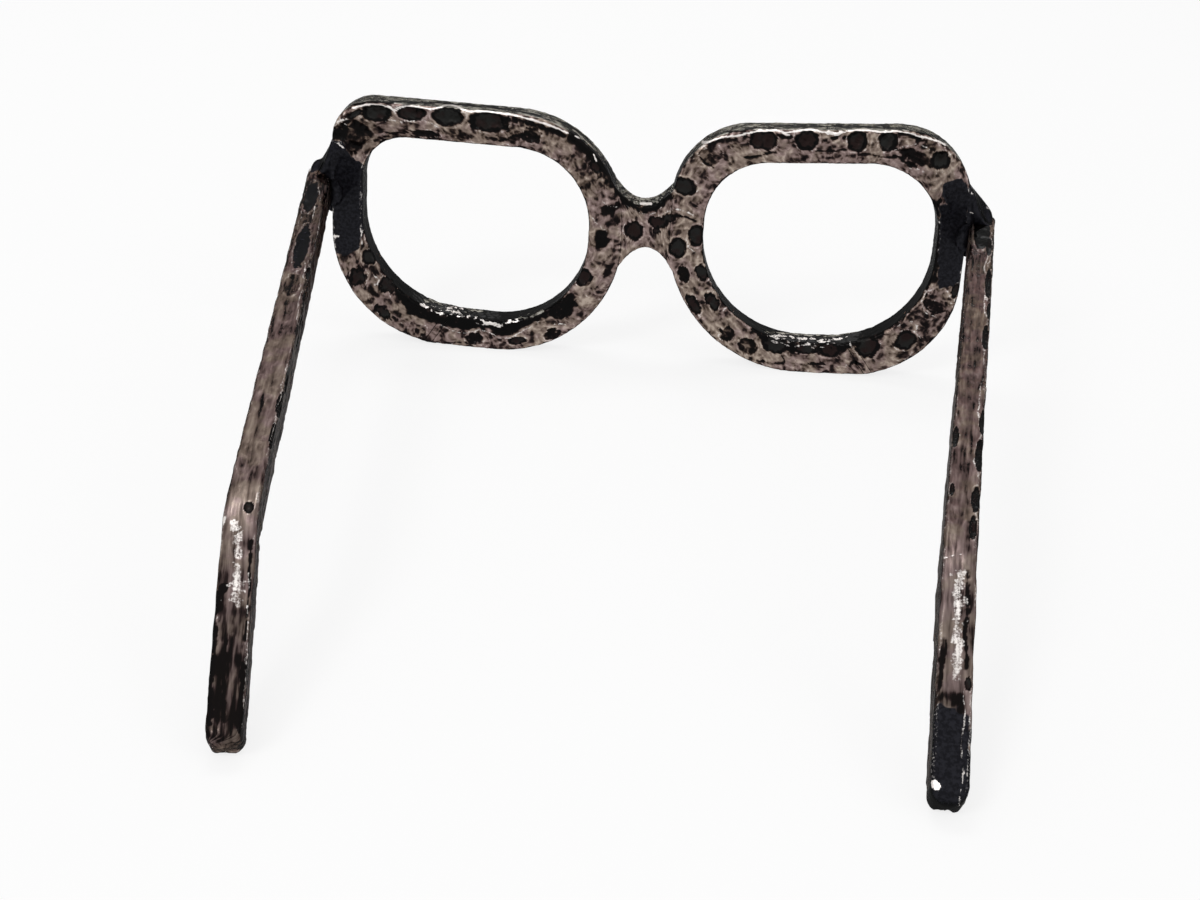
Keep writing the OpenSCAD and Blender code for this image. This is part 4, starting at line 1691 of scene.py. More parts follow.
    def make(self) -> bpy.types.Material:
        """Build the material."""
        material = bpy.data.materials.new(self.name)
        tree = empty_tree(material)
        terms = self.terms(tree)
        values = {"Strength": terms["calm"], "Height": terms["relief"]}
        bump = add_node(tree, "Bump", {}, values | {"Distance": self.bump_mm * MM})
        shader = add_node(
            tree,
            "BsdfPrincipled",
            {},
            {
                "Base Color": self.colour(tree, terms),
                "Metallic": 1.0,
                "Roughness": terms["rough"],
                "Normal": bump.outputs[0],
                "Specular Tint": linear(self.edge_tint),
                "Coat Weight": self.lacquer,
                "Coat Roughness": self.lacquer_rough,
            },
        )
        add_node(tree, "OutputMaterial", {}, {"Surface": shader.outputs[0]})
        return material


@dataclass(frozen=True)
class TempleSteel(HammeredSteel):
    """The same steel on the temples, wire-brushed along the bar, so that it is darker and lined."""

    name: str = "wire_brushed_temple_steel"
    rub_and_shade_colours: tuple[tuple[float, str], ...] = (
        (0.32, "#0e0b0a"),
        (0.37, "#2a2120"),
        (0.41, "#4f4542"),
        (0.50, "#6c605d"),
        (0.60, "#837773"),
        (0.70, "#9d918c"),
    )
    torn_long_mm: float = 14.0
    torn_wide_mm: float = 0.9
    torn_swirl: float = 0.15
    whole_low: float = -0.1
    whole_high: float = 0.36
    patina: str = "#0c0909"
    mottle_mm: float = 1.9
    mottle_drawn: float = 5.0
    lay_share: float = 0.25
    mottle_share: float = 0.25


@dataclass(frozen=True)
class BlackenedWeld(HammeredSteel):
    """Mild steel weld, ground smooth and blackened cold: nearly black, with a bluish cast."""

    name: str = "blackened_weld"
    mottle_mm: float = 1.6


@dataclass(frozen=True)
class PaperFloor:
    """White matt paper under the glasses: no gloss, and a soft shadow."""

    half_m: float = 3.0
    colour: str = "#fbfbfb"
    glow: float = 0.8
    rough: float = 0.4

    def create(self) -> bpy.types.Object:
        """Lay the floor."""
        mesh = bpy.data.meshes.new("paper_floor")
        h = self.half_m
        mesh.from_pydata([(-h, -h, 0), (h, -h, 0), (h, h, 0), (-h, h, 0)], [], [(0, 1, 2, 3)])
        floor = put("paper_floor", mesh)
        material = bpy.data.materials.new("white_paper")
        tree = empty_tree(material)
        values = {0: shown_ray(tree), 1: self.glow}
        share = add_node(tree, "Math", {"operation": "MULTIPLY"}, values)
        values = {"Color": linear(self.colour), "Roughness": self.rough}
        matt = add_node(tree, "BsdfDiffuse", {}, values)
        white = add_node(tree, "Emission", {}, {"Color": linear("#ffffff")})
        values = {0: share.outputs[0], 1: matt.outputs[0], 2: white.outputs[0]}
        both = add_node(tree, "MixShader", {}, values)
        add_node(tree, "OutputMaterial", {}, {"Surface": both.outputs[0]})
        mesh.materials.append(material)
        floor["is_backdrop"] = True
        return floor


@dataclass(frozen=True)
class Softbox:
    """A large soft lamp, aimed at the glasses."""

    name: str
    x: float
    y: float
    z: float
    wide_m: float
    high_m: float
    watts: float
    aim_z: float = 0.02

    def create(self) -> bpy.types.Object:
        """Hang the lamp."""
        data = bpy.data.lights.new(self.name, "AREA")
        data.shape = "RECTANGLE"
        data.size, data.size_y = self.wide_m, self.high_m
        data.energy = self.watts
        lamp = put(self.name, data)
        place = np.array([self.x, self.y, self.z])
        back = unit(place - np.array([0, 0, self.aim_z]))
        right = unit(np.cross([0, 0, 1], back))
        turn = Matrix(np.array([right, np.cross(back, right), back]).T.tolist()).to_4x4()
        lamp.matrix_world = Matrix.Translation(place.tolist()) @ turn
        return lamp


@dataclass(frozen=True)
class Studio:
    """White surroundings and soft lamps above, in front of and behind the glasses."""

    room_light: float = 0.55
    lamps: tuple[Softbox, ...] = (
        Softbox("top_softbox", -0.15, 0.35, 0.95, 0.45, 0.3, 1.9),
        Softbox("far_window", 0.1, 1.1, 0.5, 0.5, 0.12, 0.7),
        Softbox("side_fill", 0.9, -0.5, 0.7, 0.5, 0.5, 1.0),
        Softbox("key_softbox", -0.55, -0.75, 0.75, 0.35, 0.35, 3.2),
    )

    def create(self) -> None:
        """Set the world and hang the lamps."""
        world = bpy.data.worlds.new("white_room")
        bpy.context.scene.world = world
        tree = empty_tree(world)
        values = {"Value": shown_ray(tree), "To Min": self.room_light, "To Max": 1.0}
        strength = add_node(tree, "MapRange", {}, values)
        values = {"Color": linear("#ffffff"), "Strength": strength.outputs[0]}
        sky = add_node(tree, "Background", {}, values)
        add_node(tree, "OutputWorld", {}, {"Surface": sky.outputs[0]})
        for lamp in self.lamps:
            lamp.create()
        bpy.context.scene.view_settings.view_transform = "Standard"


# Hammer prints on the left rim: along its top, round its corners and along its bottom; among its bright
# marks are painted highlights and reflections
LEFT_RIM_MARKS: tuple[Mark, ...] = (
    Patch(((372, 128), (440, 131), (520, 122), (560, 130), (606, 178), (592, 200), (560, 150),
        (500, 142), (372, 142)), TORN, 3, 2),
    Streak(((346, 106), (352, 104), (362, 102), (385, 101.5), (410, 102), (440, 103), (470, 105),
        (495, 107), (520, 111), (545, 116), (562, 121), (578, 130), (592, 141)), 1.5),
    Blow(377, 113.5, 15.5, 8.5, 0.6),
    Blow(410, 113.5, 15, 8, 0.6),
    Blow(448, 116.5, 16.5, 10, 0.6),
    Blow(488, 121.5, 20, 10.5, 0.6),
    Blow(340, 133, 10, 8, 0.5, UMBER),
    Blow(354, 114, 8, 3.5, 0.3),
    Blow(425, 134, 14, 3.5, 0.3, UMBER),
    Streak(((385, 133), (410, 131.5), (432, 130.5)), 1, BLACK, 0.4, 0.1),
    Streak(((380, 137), (405, 137.5), (430, 136), (440, 140)), 1.2, UMBER, 0.5, 0.1),
    Streak(((506, 120), (530, 124), (550, 129), (566, 137)), 3, BLACK, 0.6, 0.1),
    Streak(((498, 141), (512, 137), (530, 136)), 1.6, BLACK, 0.5, 0.1),
    # The pale scalloped crest line: a rubbed edge, with a painted highlight along it
    Streak(((352, 107.5), (362, 105.5), (372, 104.5), (382, 105), (389, 107.5), (393.5, 111),
        (398, 107.5), (406, 105.5), (414, 105.5), (422, 107.5), (430, 109), (436, 108.5), (444, 106),
        (452, 105.5), (460, 107.5), (467, 110.5), (480, 110.5), (500, 112.5), (520, 117), (535, 120.5),
        (550, 125.5), (565, 131), (580, 138)), 1.2, PALE, 0.25),
    Streak(((545, 140), (556, 141), (566, 147), (573, 150)), 1.6, PLAIN, 0.3),
    Streak(((500, 133), (515, 130), (532, 129), (545, 133)), 2.2, PLAIN, 0.4),
    Streak(((386, 120), (400, 121), (415, 121), (424, 119), (433, 123), (440, 127)), 1.4, RUBBED, 0.4),
    Blow(532, 136, 10, 8, 0.4, UMBER, 0.3),
    Blow(474, 126, 4, 3, 0.2, UMBER, 0.3),
    Streak(((572, 136), (584, 146), (598, 160), (612, 182)), 8, BLACK, 0.4, 0.1),
    Streak(((594, 154), (598, 161)), 1.3, PALE, 0.4),
    Blow(595, 168, 7, 4, 0.5),
    Patch(((333, 126), (350, 112), (368, 118), (372, 138), (360, 150), (350, 164), (340, 150)), UMBER,
        3, 2),
    Streak(((348, 124), (354, 119), (362, 118), (368, 123)), 1.2, PLAIN, 0.4),
    Streak(((333, 128), (340, 121), (346, 119)), 1.4, CHIP, 0.5),
    Streak(((353, 152), (355, 160), (356, 166)), 1.5, PLAIN, 0.6),
    Patch(((325, 128), (340, 126), (350, 138), (342, 150), (322, 150)), BLACK, 2.5, 1.5),
    Patch(((358, 168), (380, 160), (382, 225), (372, 232), (362, 228)), BLACK, 1.5, 1),
    Patch(((316, 152), (330, 140), (342, 142), (352, 158), (366, 166), (366, 190), (364, 230),
        (358, 250), (342, 257), (322, 242), (314, 190)), GROUND, 1.5, 0.8),
    Patch(((322, 242), (380, 240), (420, 300), (430, 345), (395, 345), (340, 300)), TORN, 6, 3),
    # A painted glint
    Streak(((334, 237), (339, 237.5)), 0.9, PALE, 0.3),
    Streak(((338, 144), (342, 147)), 1.3, PALE, 0.6),
    Streak(((330, 126), (338, 121), (346, 124)), 1.1, CHIP, 0.5),
    Streak(((360, 228), (361, 244)), 0.8, CHIP, 0.6),
    Blow(369, 258, 8, 8, 0.5),
    Blow(358, 277, 9, 9, 0.5, BLACK, 0.3),
    Blow(387, 286, 9, 8, 0.5, BLACK, 0.3),
    Blow(383, 312, 11, 4, 0.4, BLACK, 0.3),
    Streak(((374, 275), (379, 280), (376, 286), (372, 281)), 1.5, RUBBED, 0.3),
    Patch(((392, 287), (400, 301), (409, 315), (424, 320), (440, 324), (452, 329), (464, 330.5),
        (478, 328), (488, 330), (500, 336), (512, 336), (524, 328), (538, 320), (548, 318), (560, 319),
        (570, 316), (577, 304), (571, 294), (548, 303), (520, 309), (480, 306), (440, 298), (415, 288)),
        BLACK, 1.2, 1),
    Streak(((440, 326), (452, 331), (464, 332.5), (478, 330), (488, 332.5), (500, 338.5), (512, 338.5),
        (526, 330), (540, 322)), 1.3, RUBBED, 0.3),
    Blow(421, 331, 6, 6, 0.4, BROWN),
    Blow(475, 339, 9, 6, 0.5, UMBER),
    Blow(517, 341, 9, 4, 0.5),
    Blow(552, 335, 8, 6, 0.4, UMBER, 0.3),
    Streak(((420, 340), (445, 343), (470, 344)), 0.9, UMBER, 0.5, 0.05),
    # On the inner face along the bottom: painted grey sheen, and painted reflections in its ripples
    Streak(((424, 300), (440, 302), (460, 306), (482, 311)), 2, GREY, 0.6),
    Streak(((520, 317), (532, 315), (544, 311)), 1.6, GREY, 0.6),
    Streak(((418, 303), (430, 310), (447, 314.5)), 1.7, CHIP, 0.9),
    Streak(((446, 310.5), (458, 312), (470, 317)), 1.8, CHIP, 0.9),
    Streak(((474, 320), (486, 323.5), (500, 322), (517, 321)), 1.7, CHIP, 0.9),
    Streak(((430, 306), (448, 308), (470, 312)), 1.3, RUBBED, 0.9),
    Streak(((477, 325.5), (488, 326)), 1, RUBBED, 0.6),
    Streak(((556, 326), (566, 324.5)), 1.1, CHIP, 0.6),
)

# Hammer prints on the right rim: along its top, round its corners and along its bottom; among its
# bright marks are painted highlights and reflections
RIGHT_RIM_MARKS: tuple[Mark, ...] = (
    Streak(((705, 137), (730, 132), (748, 128.5), (780, 126.5), (850, 126.5), (890, 127.5), (915, 131),
        (935, 136), (950, 143)), 1.3),
    Blow(758, 140, 8, 10, 0.5),
    Blow(769, 140.5, 9, 10, 0.6),
    Blow(807, 140.5, 11.5, 10.5, 0.6),
    Blow(857, 142, 10, 11, 0.6),
    Blow(888, 142, 9.5, 10.5, 0.6),
    Blow(941, 161, 9, 10, 0.5),
    # The pale scalloped crest line: a rubbed edge, with a painted highlight along it
    Streak(((702, 142), (716, 139), (735, 136.5), (750, 133), (760, 130), (775, 130), (785, 132),
        (797, 130), (810, 129), (822, 131), (838, 133), (850, 130), (866, 130), (880, 131.5),
        (895, 131.5), (915, 135), (935, 140), (948, 145)), 1.25, PALE, 0.35),
    Streak(((782, 132), (790, 134)), 1.6, PALE, 0.6),
    Streak(((826, 133), (836, 135), (842, 132)), 2, PALE, 0.6),
    Blow(711, 156, 11, 10, 0.35, BROWN),
    Streak(((702, 149), (699, 156), (704, 164), (713, 167)), 1.4, BLACK, 0.5, 0.05),
    Streak(((900, 135), (912, 137), (926, 142)), 3, BLACK, 0.4, 0.2),
    Patch(((893, 150), (905, 158), (925, 166), (938, 170), (943, 164), (928, 157), (916, 150),
        (903, 147)), UMBER, 1, 1.5),
    Patch(((908, 140), (930, 146), (938, 152), (920, 151)), BROWN, 1.5, 1.5),
    Streak(((894, 151), (908, 147), (916, 144), (930, 150)), 1.2, RUBBED, 0.4),
    Streak(((908, 168), (925, 171), (942, 173)), 1.3, RUBBED, 0.4),
    Streak(((778, 136), (793, 136.5)), 2.6, UMBER, 0.6, 0.1),
    Streak(((826, 139), (845, 138)), 2.2, UMBER, 0.6, 0.1),
    Streak(((706, 144), (726, 141), (748, 138)), 2, UMBER, 0.7, 0.1),
    Streak(((745, 158), (760, 156), (776, 153)), 1.2, BLACK, 0.5, 0.1),
    Streak(((800, 151), (820, 150.5), (845, 151)), 0.9, BLACK, 0.5, 0.1),
    Streak(((858, 154), (875, 156), (892, 158)), 1.5, UMBER, 0.5, 0.1),
    Streak(((895, 157), (906, 163), (915, 168)), 2, BLACK, 0.6, 0.1),
    Patch(((944, 183), (962, 178), (975, 198), (966, 212), (950, 208), (942, 196)), GROUND, 1.5, 0.6),
    Patch(((936, 205), (968, 204), (970, 290), (962, 296), (950, 286), (938, 290), (934, 240)), GROUND,
        2, 0.8),
    Patch(((890, 330), (935, 285), (965, 290), (950, 330), (905, 365), (880, 355)), TORN, 6, 3),
    Patch(((752, 332), (764, 341), (780, 351), (796, 353), (815, 354), (830, 357), (845, 352),
        (856, 346), (868, 342), (884, 337), (884, 322), (752, 318)), BLACK, 1.2, 1),
    Patch(((926, 200), (940, 200), (938, 280), (924, 292), (908, 311), (896, 322), (892, 316),
        (920, 285)), BLACK, 1.5, 1.2),
    Blow(748, 347, 10, 8, 0.5, UMBER),
    Blow(775, 345, 13, 9, 0.5),
    Blow(727, 335, 7, 7, 0.4, UMBER, 0.3),
    Blow(806, 348, 12, 6, 0.3),
    Blow(830, 350, 11, 8, 0.4),
    Blow(868, 347, 12, 11, 0.5),
    Blow(906, 341, 11, 9, 0.5),
    Blow(937, 301, 12, 12, 0.4, BROWN),
    Streak(((926, 294), (924, 303), (929, 311), (937, 314), (946, 311)), 1.2, BLACK, 0.2, 0.1),
    Streak(((934, 289), (925, 291), (921, 302), (926, 314), (937, 318)), 1.2, RUBBED, 0.3),
    Streak(((940, 288), (948, 292), (952, 300)), 1, RUBBED, 0.4),
    Blow(956, 292, 8, 4, 0.3),
    Streak(((910, 321), (918, 326), (916, 333), (922, 338)), 1.6, RUBBED, 0.5),
    Streak(((758, 361), (772, 363), (785, 363)), 1.8, UMBER, 0.6, 0.05),
    Streak(((800, 364), (824, 365)), 1.8, UMBER, 0.6, 0.05),
    Streak(((782, 356), (785, 362)), 1, BLACK, 0.4, 0.1),
    # On the inner face along the bottom: painted grey sheen, and painted reflections in its ripples
    Streak(((766, 331), (785, 334), (810, 335), (838, 334), (856, 331)), 1.6, GREY, 0.5),
    Streak(((768, 336), (786, 338.5), (808, 339.5)), 1.5, CHIP, 0.9),
    Streak(((806, 338.5), (824, 340.5), (848, 338)), 1.6, CHIP, 0.9),
    Streak(((774, 343), (792, 345), (815, 344.5)), 1.2, RUBBED, 0.9),
    Streak(((812, 347.5), (829, 346.5)), 1.1, RUBBED, 0.8),
    Streak(((851, 341), (854, 350)), 1.2, RUBBED, 0.6),
    Streak(((846, 354), (849, 361), (845, 366)), 1.1, RUBBED, 0.4),
    Streak(((850, 366), (854, 362), (860, 365)), 2.2, BLACK, 0.2, 0.35),
)

# Prints, cracks and a painted glint on the bridge and where the rims run into it
BRIDGE_MARKS: tuple[Mark, ...] = (
    Patch(((607, 172), (620, 191), (630, 201), (641, 205), (652, 205), (662, 198), (668, 188),
        (673, 196), (665, 205), (656, 211), (645, 213), (634, 211), (624, 205), (615, 193), (604, 178)),
        BLACK, 1.2, 1.2),
    Streak(((622, 204), (632, 211), (645, 214), (656, 212), (666, 206)), 1, RUBBED, 0.4),
    Blow(634, 231, 9.5, 9.5, 0.45, BLACK, 0.1),
    Blow(658, 223, 10, 6, 0.4, BLACK, 0.2),
    Blow(668, 218, 7, 4, 0.3, BLACK, 0.2),
    Blow(657, 231, 4, 3, 0.3, BLACK, 0.3),
    Streak(((672, 216), (680, 215.5), (688, 217), (696, 221)), 1.3, BLACK, 0.2, 0.15),
    Streak(((662, 213), (672, 210), (684, 209), (694, 214)), 1.4, RUBBED, 0.5),
    Blow(684, 186, 9, 12.5, 0.45, BLACK, 0.1),
    Blow(677, 248, 10, 9, 0.45, BLACK, 0.1),
    Blow(697, 236, 11, 8.5, 0.45, BLACK, 0.1),
    Streak(((686, 238), (688, 247), (694, 253), (699, 262)), 1.2, RUBBED, 0.3),
    Patch(((596, 230), (605, 231), (610, 240), (606, 246), (597, 249), (594, 240)), BLACK, 1, 0.6),
    Patch(((598, 208), (606, 206), (618, 208), (613, 216), (604, 215)), UMBER, 1.5, 1),
    Patch(((604, 268), (614, 264), (609, 276), (602, 280)), UMBER, 1.5, 1),
    Patch(((597, 169), (603, 170), (602, 178), (597, 180)), BLACK, 1, 0.4),
    Blow(583, 278, 9, 9, 0.45, BLACK, 0.12),
    Blow(703, 273, 9, 7, 0.35, BLACK, 0.2),
    Blow(712, 301, 10, 6, 0.4, BLACK, 0.2),
    Blow(683, 275, 8, 6, 0.35, UMBER, 0.2),
    Blow(693, 305, 12, 5.5, 0.35, BLACK, 0.2),
    Streak(((601, 200), (608, 206), (617, 209)), 1.2, RUBBED, 0.4),
    Streak(((592, 218), (598, 224), (606, 232)), 1.6, RUBBED, 0.5),
    # A painted glint on the top face
    Streak(((641, 203), (651, 203)), 1.7, PALE, 0.1),
)

# Prints along the left temple, from its front end to the ear, with painted highlights near the front
# and at the ear bend
LEFT_TEMPLE_MARKS: tuple[Mark, ...] = (
    Patch(((300, 158), (330, 165), (332, 240), (312, 262), (286, 262)), TORN, 8, 3),
    # A painted highlight on the temple's top
    Streak(((310, 170), (318, 171)), 1.6, PALE, 0.7),
    Streak(((302, 185), (301, 205), (297, 235)), 1, RUBBED, 0.5),
    Streak(((318, 186), (320, 200)), 1, RUBBED, 0.5),
    Streak(((316, 206), (313, 217)), 1, CHIP, 0.5),
    Streak(((318, 226), (321, 250)), 1.3, CHIP, 0.5),
    Streak(((311, 250), (309, 266)), 1.1, RUBBED, 0.5),
    Blow(311, 196, 15, 6.5, 0.3, GROUND, 0.12),
    Blow(302, 246, 22, 7, 0.3, GROUND, 0.15),
    Blow(292, 284, 11, 8, 0.15, BROWN),
    Blow(309, 273, 6, 3.5, 0.3),
    Blow(305, 300, 8, 4, 0.3),
    Blow(301, 325, 10, 3, 0.3),
    Blow(298, 341, 8, 3, 0.3),
    Blow(288, 381, 14, 5, 0.4),
    Blow(281, 405, 13, 5, 0.4),
    Blow(274, 435, 13, 3.5, 0.3),
    Blow(248, 507, 6, 5, 0.3),
    Streak(((300, 174), (293, 223), (283, 265), (270, 314), (256, 370), (241, 426)), 1.5, RUBBED, 0.5),
    Streak(((306, 262), (303, 275), (305, 285), (299, 300), (297, 318), (300, 335), (293, 352)), 1.4,
        RUBBED, 0.4),
    Streak(((288, 364), (283, 380), (282, 396), (276, 408), (275, 425), (270, 445)), 1.4, RUBBED, 0.4),
    Streak(((286, 300), (282, 325), (276, 345)), 2, TORN, 0.3, 0.05),
    Streak(((262, 400), (258, 425), (251, 450)), 2, TORN, 0.3, 0.05),
    Streak(((250, 450), (245, 475), (240, 495)), 2, TORN, 0.3, 0.05),
    Streak(((251, 540), (250, 580), (249, 610), (245, 640)), 2.2, BLACK, 0.5, 0.05),
    Streak(((223, 588), (215, 601), (214, 630), (212, 665), (209, 700), (211, 722)), 5, BLACK, 0.5,
        0.1),
    Patch(((214, 598), (250, 598), (248, 680), (212, 680)), BROWN, 12, 2),
    Patch(((208, 648), (250, 648), (248, 738), (206, 738)), SOOT, 14, 2),
    Streak(((226, 640), (224, 680), (222, 722)), 3, UMBER, 0.5),
    Streak(((243, 664), (241, 700), (238, 732)), 3.2, BLACK, 0.4),
    # The ear bend's highlight, painted, broken by the grain
    Streak(((222, 517), (222, 527)), 2.2, CHIP, 0.8),
    Streak(((234, 520), (236, 540), (238, 556)), 8, RUBBED, 0.5),
    Streak(((235, 527), (236, 533)), 2.2, CHIP, 0.5),
    Streak(((238, 566), (238, 580), (237, 598)), 10, RUBBED, 0.5),
    Streak(((237, 575), (236, 588)), 4, CHIP, 0.5),
    Streak(((221, 595), (221, 601)), 2, CHIP, 0.6),
    Streak(((249, 570), (248, 620), (246, 690), (243, 728)), 1.4, RUBBED, 0.5),
)

# Prints along the right temple, from its front end to the ear, with painted glints near the front and a
# painted highlight at the ear bend
RIGHT_TEMPLE_MARKS: tuple[Mark, ...] = (
    Blow(982, 231, 17, 8, 0.15, BLACK, 0.12),
    # Painted glints
    Streak(((963, 211), (968, 214)), 1.3, PALE, 0.6),
    Streak(((967, 225), (969, 230)), 1.3, PALE, 0.6),
    Streak(((965, 238), (963, 262), (961, 290), (960, 312)), 1.3, CHIP, 0.5),
    Streak(((992, 238), (991, 255), (989, 270), (987, 300)), 1.3, RUBBED, 0.5),
    Streak(((965, 216), (967, 235)), 2.5, BLACK, 0.4),
    Streak(((971, 248), (973, 262), (970, 280)), 1.8, BROWN, 0.3, 0.05),
    Streak(((972, 318), (969, 345), (972, 372), (970, 398)), 2, TORN, 0.3, 0.05),
    Streak(((963, 340), (962, 372), (964, 395)), 1.8, TORN, 0.3, 0.05),
    Streak(((974, 402), (971, 425), (973, 450)), 2, TORN, 0.3, 0.05),
    Streak(((960, 410), (963, 440), (960, 470)), 1.8, TORN, 0.3, 0.05),
    Streak(((968, 462), (966, 490), (968, 520)), 2, TORN, 0.3, 0.05),
    Streak(((988, 255), (985, 270), (988, 288), (984, 300), (987, 322), (983, 340), (985, 368),
        (980, 395), (978, 410), (981, 427), (980, 445), (975, 459), (979, 480), (974, 500), (977, 520)),
        1.4, RUBBED, 0.4),
    Blow(989, 246, 8, 3, 0.3),
    Blow(989, 283, 14, 3.5, 0.4),
    Blow(990, 311, 8, 3, 0.3),
    Blow(986, 337, 12, 3.5, 0.4),
    Blow(983, 423, 12, 4, 0.4),
    Blow(981, 455, 16, 5, 0.5),
    Blow(976, 498, 13, 5, 0.5),
    Blow(955, 436, 10, 4, 0.4),
    Blow(952, 489, 6, 2.5, 0.3),
    Blow(974, 527, 12, 4, 0.4),
    Streak(((943, 556), (962, 553)), 1.3, RUBBED, 0.4, 0.05),
    Streak(((967, 572), (968, 600), (965, 640), (967, 668)), 3, UMBER, 0.5, 0.05),
    Streak(((944, 640), (941, 665), (939, 692)), 4.5, UMBER, 0.4, 0.05),
    Blow(969, 684, 7, 4, 0.3),
    # The ear bend's highlight, painted, broken by the grain
    Streak(((959, 574), (958, 620), (957, 672)), 10.5, RUBBED, 0.5),
    Streak(((958, 600), (959, 618)), 3, CHIP, 0.5),
    Streak(((956, 638), (957, 654)), 3.5, CHIP, 0.5),
    Patch(((932, 690), (966, 696), (966, 735), (960, 818), (928, 815), (930, 735)), UMBER, 8, 2),
    Patch(((914, 712), (945, 702), (972, 716), (972, 836), (914, 836)), GROUND, 5, 3),
    Streak(((964, 690), (963, 745), (960, 805)), 1.6, RUBBED, 0.5),
    Patch(((931, 781), (936, 780), (941, 786), (938, 790), (931, 786)), PALE, 0.8, 0.1),
)

# Where the welds at the hinges run brown into the temples, and their bright spots: rubbed metal, and
# painted glints
JOINT_MARKS: tuple[Mark, ...] = (
    Patch(((306, 174), (320, 170), (328, 180), (320, 190), (307, 187)), BROWN, 2, 1),
    Streak(((319, 188), (320, 198)), 1.2, RUBBED, 0.6),
    # At the right joint: a light line along the crease, and painted glints on the weld's edges
    Streak(((962, 214), (968, 212), (976, 213)), 1.3, CHIP, 0.6),
    Streak(((988, 206), (993, 210)), 1.2, RUBBED, 0.5),
    Streak(((969, 189), (971, 194)), 1.2, CHIP, 0.6),
)

# What forging leaves on every face of the rims and bridge, and of the temples
RIM_RELIEF = (
    Relief(8.0, 0.08, 21),
    Relief(3.6, 0.16, 22, ridged=True, shows=0.5),
    Relief(1.8, 0.1, 23, ridged=True, shows=0.45),
    Relief(1.5, 0.05, 24, drawn=True, ridged=True, shows=0.3),
)
TEMPLE_RELIEF = (
    Relief(9.0, 0.12, 31),
    Relief(3.0, 0.08, 32, drawn=True, ridged=True, shows=0.35),
    Relief(1.2, 0.05, 33, drawn=True, ridged=True, shows=0.22),
    Relief(0.8, 0.02, 34, drawn=True, shows=0.15),
)

# Prints out of the camera's sight: on the rims' front edges and outer faces, and on the
# temples' undersides and side faces
RIM_ROWS = (
    PrintRow(103, 10.4, 3.0, 41),
    PrintRow(90, 10.4, 8.0, 42),
    PrintRow(97, 23.0, 5.0, 43, 2.2, 1.3, 0.3),
    PrintRow(70, 10.4, 4.0, 44, 2.8, 1.8, 0.35),
)
TEMPLE_ROWS = (
    PrintRow(3, 11.0, 6.0, 51),
    PrintRow(84, 11.0, 11.0, 52, 2.8, 1.7),
    PrintRow(97, 14.0, 9.0, 53, 2.6, 1.6, 0.3),
    PrintRow(70, 17.0, 4.0, 54, 2.6, 1.4, 0.3),
    PrintRow(16, 17.0, 9.0, 55, 2.6, 1.4, 0.3),
)


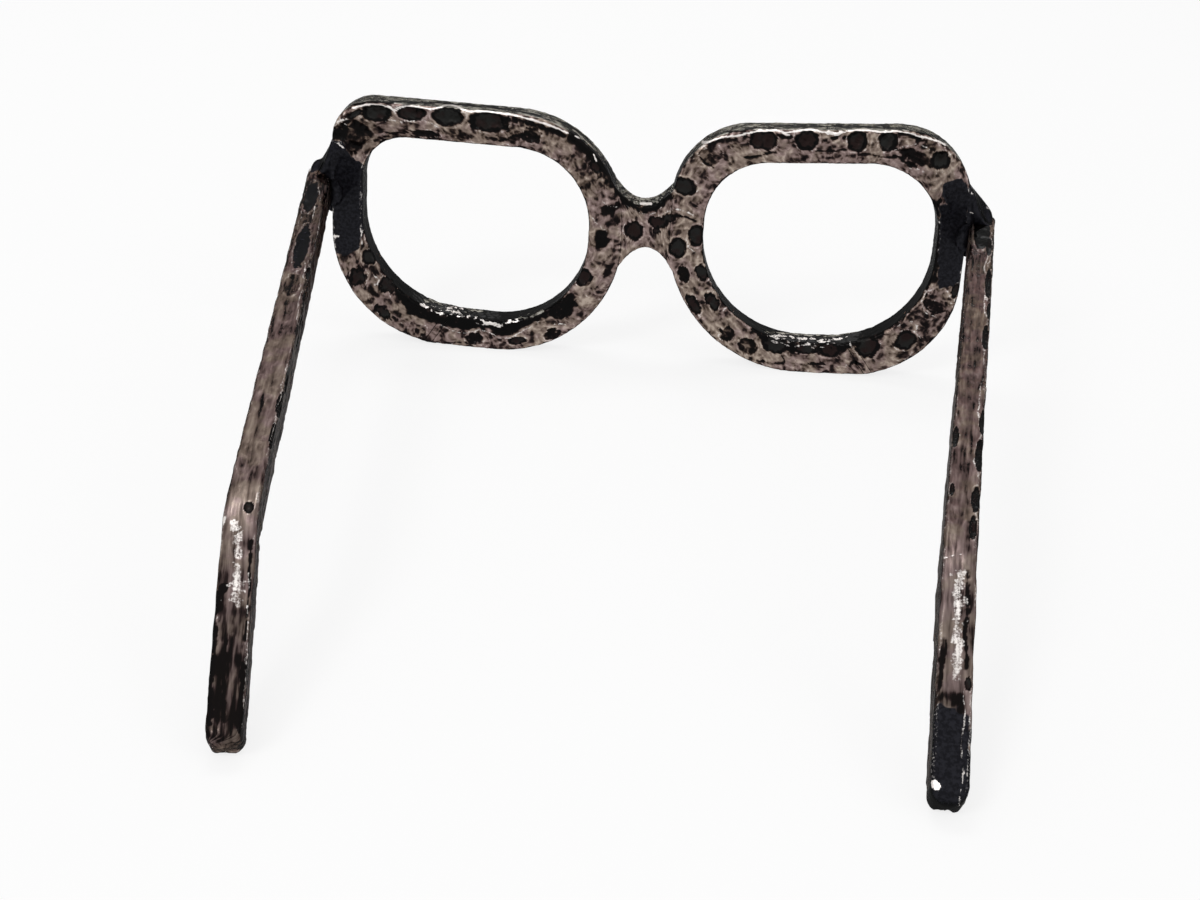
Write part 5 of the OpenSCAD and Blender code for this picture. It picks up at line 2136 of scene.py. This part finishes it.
@dataclass
class Glasses:
    """The whole pair: rims, bridge, temples and the welds between them."""

    frame: dict[str, Any]
    camera: PhotoCamera
    low: Array
    high: Array
    # The patina of a rim's outer and inner sides, and how much thinner it is in places
    outer_black: float = 0.72
    inner_black: float = 0.82
    thin_black: float = 0.35
    thin_mm: float = 5.0
    thin_seed: int = 61
    thin_span: tuple[float, float] = (0.1, 0.9)
    # How far up an outer side faces where its painted grey sheen begins and is whole
    sheen_span: tuple[float, float] = (0.2, 0.9)
    # How weld metal takes to being rubbed
    weld_handled: float = 0.4
    # Worn crests: how far around they are judged, their full height, and how bright they get
    wear: tuple[int, float, float] = (4, 0.07, 0.3)

    def rims(self) -> tuple[Rim, Rim]:
        """Lay out both rims where the solid model has them."""
        left = Rim("left_rim", -1, 51.8, 42.4, 41.2, 2.2, 0.8, (20.9, 23.7, 10.0, 17.5),
                   (28.7, 26.6, 9.4, 25.3), 7.1)
        right = Rim("right_rim", 1, 52.2, 42.7, 43.5, 2.5, 1.2, (24.8, 21.9, 16.0, 14.1),
                    (32.6, 23.5, 16.6, 17.7), 6.6)
        back_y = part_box("left_rim")[0].y / MM
        mid_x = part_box("right_rim")[1].x / MM - float(right.outside[:, 0].max())
        for rim in (left, right):
            rim.back_y, rim.mid_x = back_y, mid_x
        return left, right

    def build(self) -> dict[str, Skin]:
        """Make and work every skin.

        Returns:
            The skins by the name of the node that each stands for.
        """
        left, right = self.rims()
        section = BarSection()
        bridge = SaddleBridge(left, right)
        front = [
            left.bar(section),
            right.bar(section),
            left.seam(section),
            right.seam(section),
            bridge.saddle(section),
            bridge.weld(left, "left_bridge_weld"),
            bridge.weld(right, "right_bridge_weld"),
        ]
        temples = [
            Temple("left_temple", left, 129.5, 7.2, 9.0).bar(section),
            Temple("right_temple", right, 129.0, 9.1, 5.0).bar(section),
        ]
        lumps = [
            WeldLump(f"{side}_{place}_weld", rim).skin(
                self.frame["nodes"][f"{side}_{place}_weld"]
            )
            for place in ("corner", "top")
            for side, rim in (("left", left), ("right", right))
        ]
        for skin, rim in zip(front, (left, right, left, right)):
            self.darken_sides(skin, rim)
        for lump in lumps:
            lump.tones[:, 2] = 1.0
            lump.handled[:] = self.weld_handled
        marks = LEFT_RIM_MARKS + RIGHT_RIM_MARKS + BRIDGE_MARKS
        self.worked(front, marks, RIM_RELIEF, RIM_ROWS, left.ring_mm)
        self.worked(temples[:1], LEFT_TEMPLE_MARKS, TEMPLE_RELIEF, TEMPLE_ROWS, Temple.ring_mm)
        self.worked(temples[1:], RIGHT_TEMPLE_MARKS, TEMPLE_RELIEF, TEMPLE_ROWS, Temple.ring_mm)
        self.worked(lumps, JOINT_MARKS, RIM_RELIEF)
        return {skin.name: skin for skin in (*front, *temples, *lumps)}

    def darken_sides(self, skin: Skin, rim: Rim) -> None:
        """Keep the patina on a rim's inner and lower sides, and paint its upper outer side with a grey
        sheen, which is painted light.

        Args:
            skin: the skin of the rim's bar or seam.
            rim: the rim.
        """
        facing = skin.normals()
        side = sideways(facing)
        middle_x, middle_z = rim.inner.corners.mean(0)
        middle = np.array([rim.side * middle_x + rim.mid_x, 0.0, middle_z])
        away = (facing * (skin.points - middle) * [1, 0, 1]).sum(1) > 0
        # The outer side turned up to the light gets a painted grey sheen in place of patina
        sheen_top = side * away * ramp(facing[:, 2], *self.sheen_span)
        # The patina of the inner side is thinner in places, and brown there.
        waves = Waves(self.thin_mm, self.thin_seed)(skin.points)
        thin = self.thin_black * ramp(waves, *self.thin_span)
        dark = np.where(away, self.outer_black, self.inner_black - thin)
        skin.tones[:, 0] = dark * (side - sheen_top)
        skin.tones[:, 3] = sheen_top
        skin.calm = skin.calm * (1 - SIDE_CALM * side)

    def worked(
        self,
        skins: Sequence[Skin],
        marks: Sequence[Mark],
        relief: Sequence[Relief],
        rows: Sequence[PrintRow] = (),
        ring_mm: float = 0.0,
    ) -> None:
        """Hammer, forge and wear pieces that lie together.

        Args:
            skins: the pieces, bars first.
            marks: their marks, in the order in which they are made.
            relief: the layers that forging leaves.
            rows: rows of prints for each bar.
            ring_mm: the distance between the bars' rings.
        """
        anvil = Anvil(self.camera, skins)
        anvil.work(marks)
        for skin in skins[:2]:
            for row in rows:
                anvil.print_row(skin, ring_mm, row)
        anvil.forge(relief)
        anvil.finish(self.low, self.high)
        for skin in skins:
            skin.wear_edges(*self.wear)

    def dress(self, skins: dict[str, Skin]) -> None:
        """Create the pieces, give them their finish and join them to the model.

        Args:
            skins: the worked skins by node.
        """
        finishes = {
            "hammered_bar": HammeredSteel().make(),
            "temple_bar": TempleSteel().make(),
            "weld_metal": BlackenedWeld().make(),
        }
        slots = {s["node"]: s["material_slot"] for s in self.frame["record"]["subparts"]}
        for node, skin in skins.items():
            skin.name = f"{node}_forged"
            piece = skin.build()
            piece.data.materials.append(finishes[slots[node]])
            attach(piece, BODY)
            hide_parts(node)
            LOG.info("%s: %d points", piece.name, len(skin.points))


def main() -> None:
    """Build the camera, the studio and the glasses, within the solid model's box."""
    logging.basicConfig(level=logging.INFO, format="%(message)s")
    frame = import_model()
    cad_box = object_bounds()
    camera = PhotoCamera()
    camera.create()
    PaperFloor().create()
    Studio().create()
    low, high = (np.array(corner) / MM for corner in cad_box)
    glasses = Glasses(frame, camera, low, high)
    glasses.dress(glasses.build())


if __name__ == "__main__":
    main()
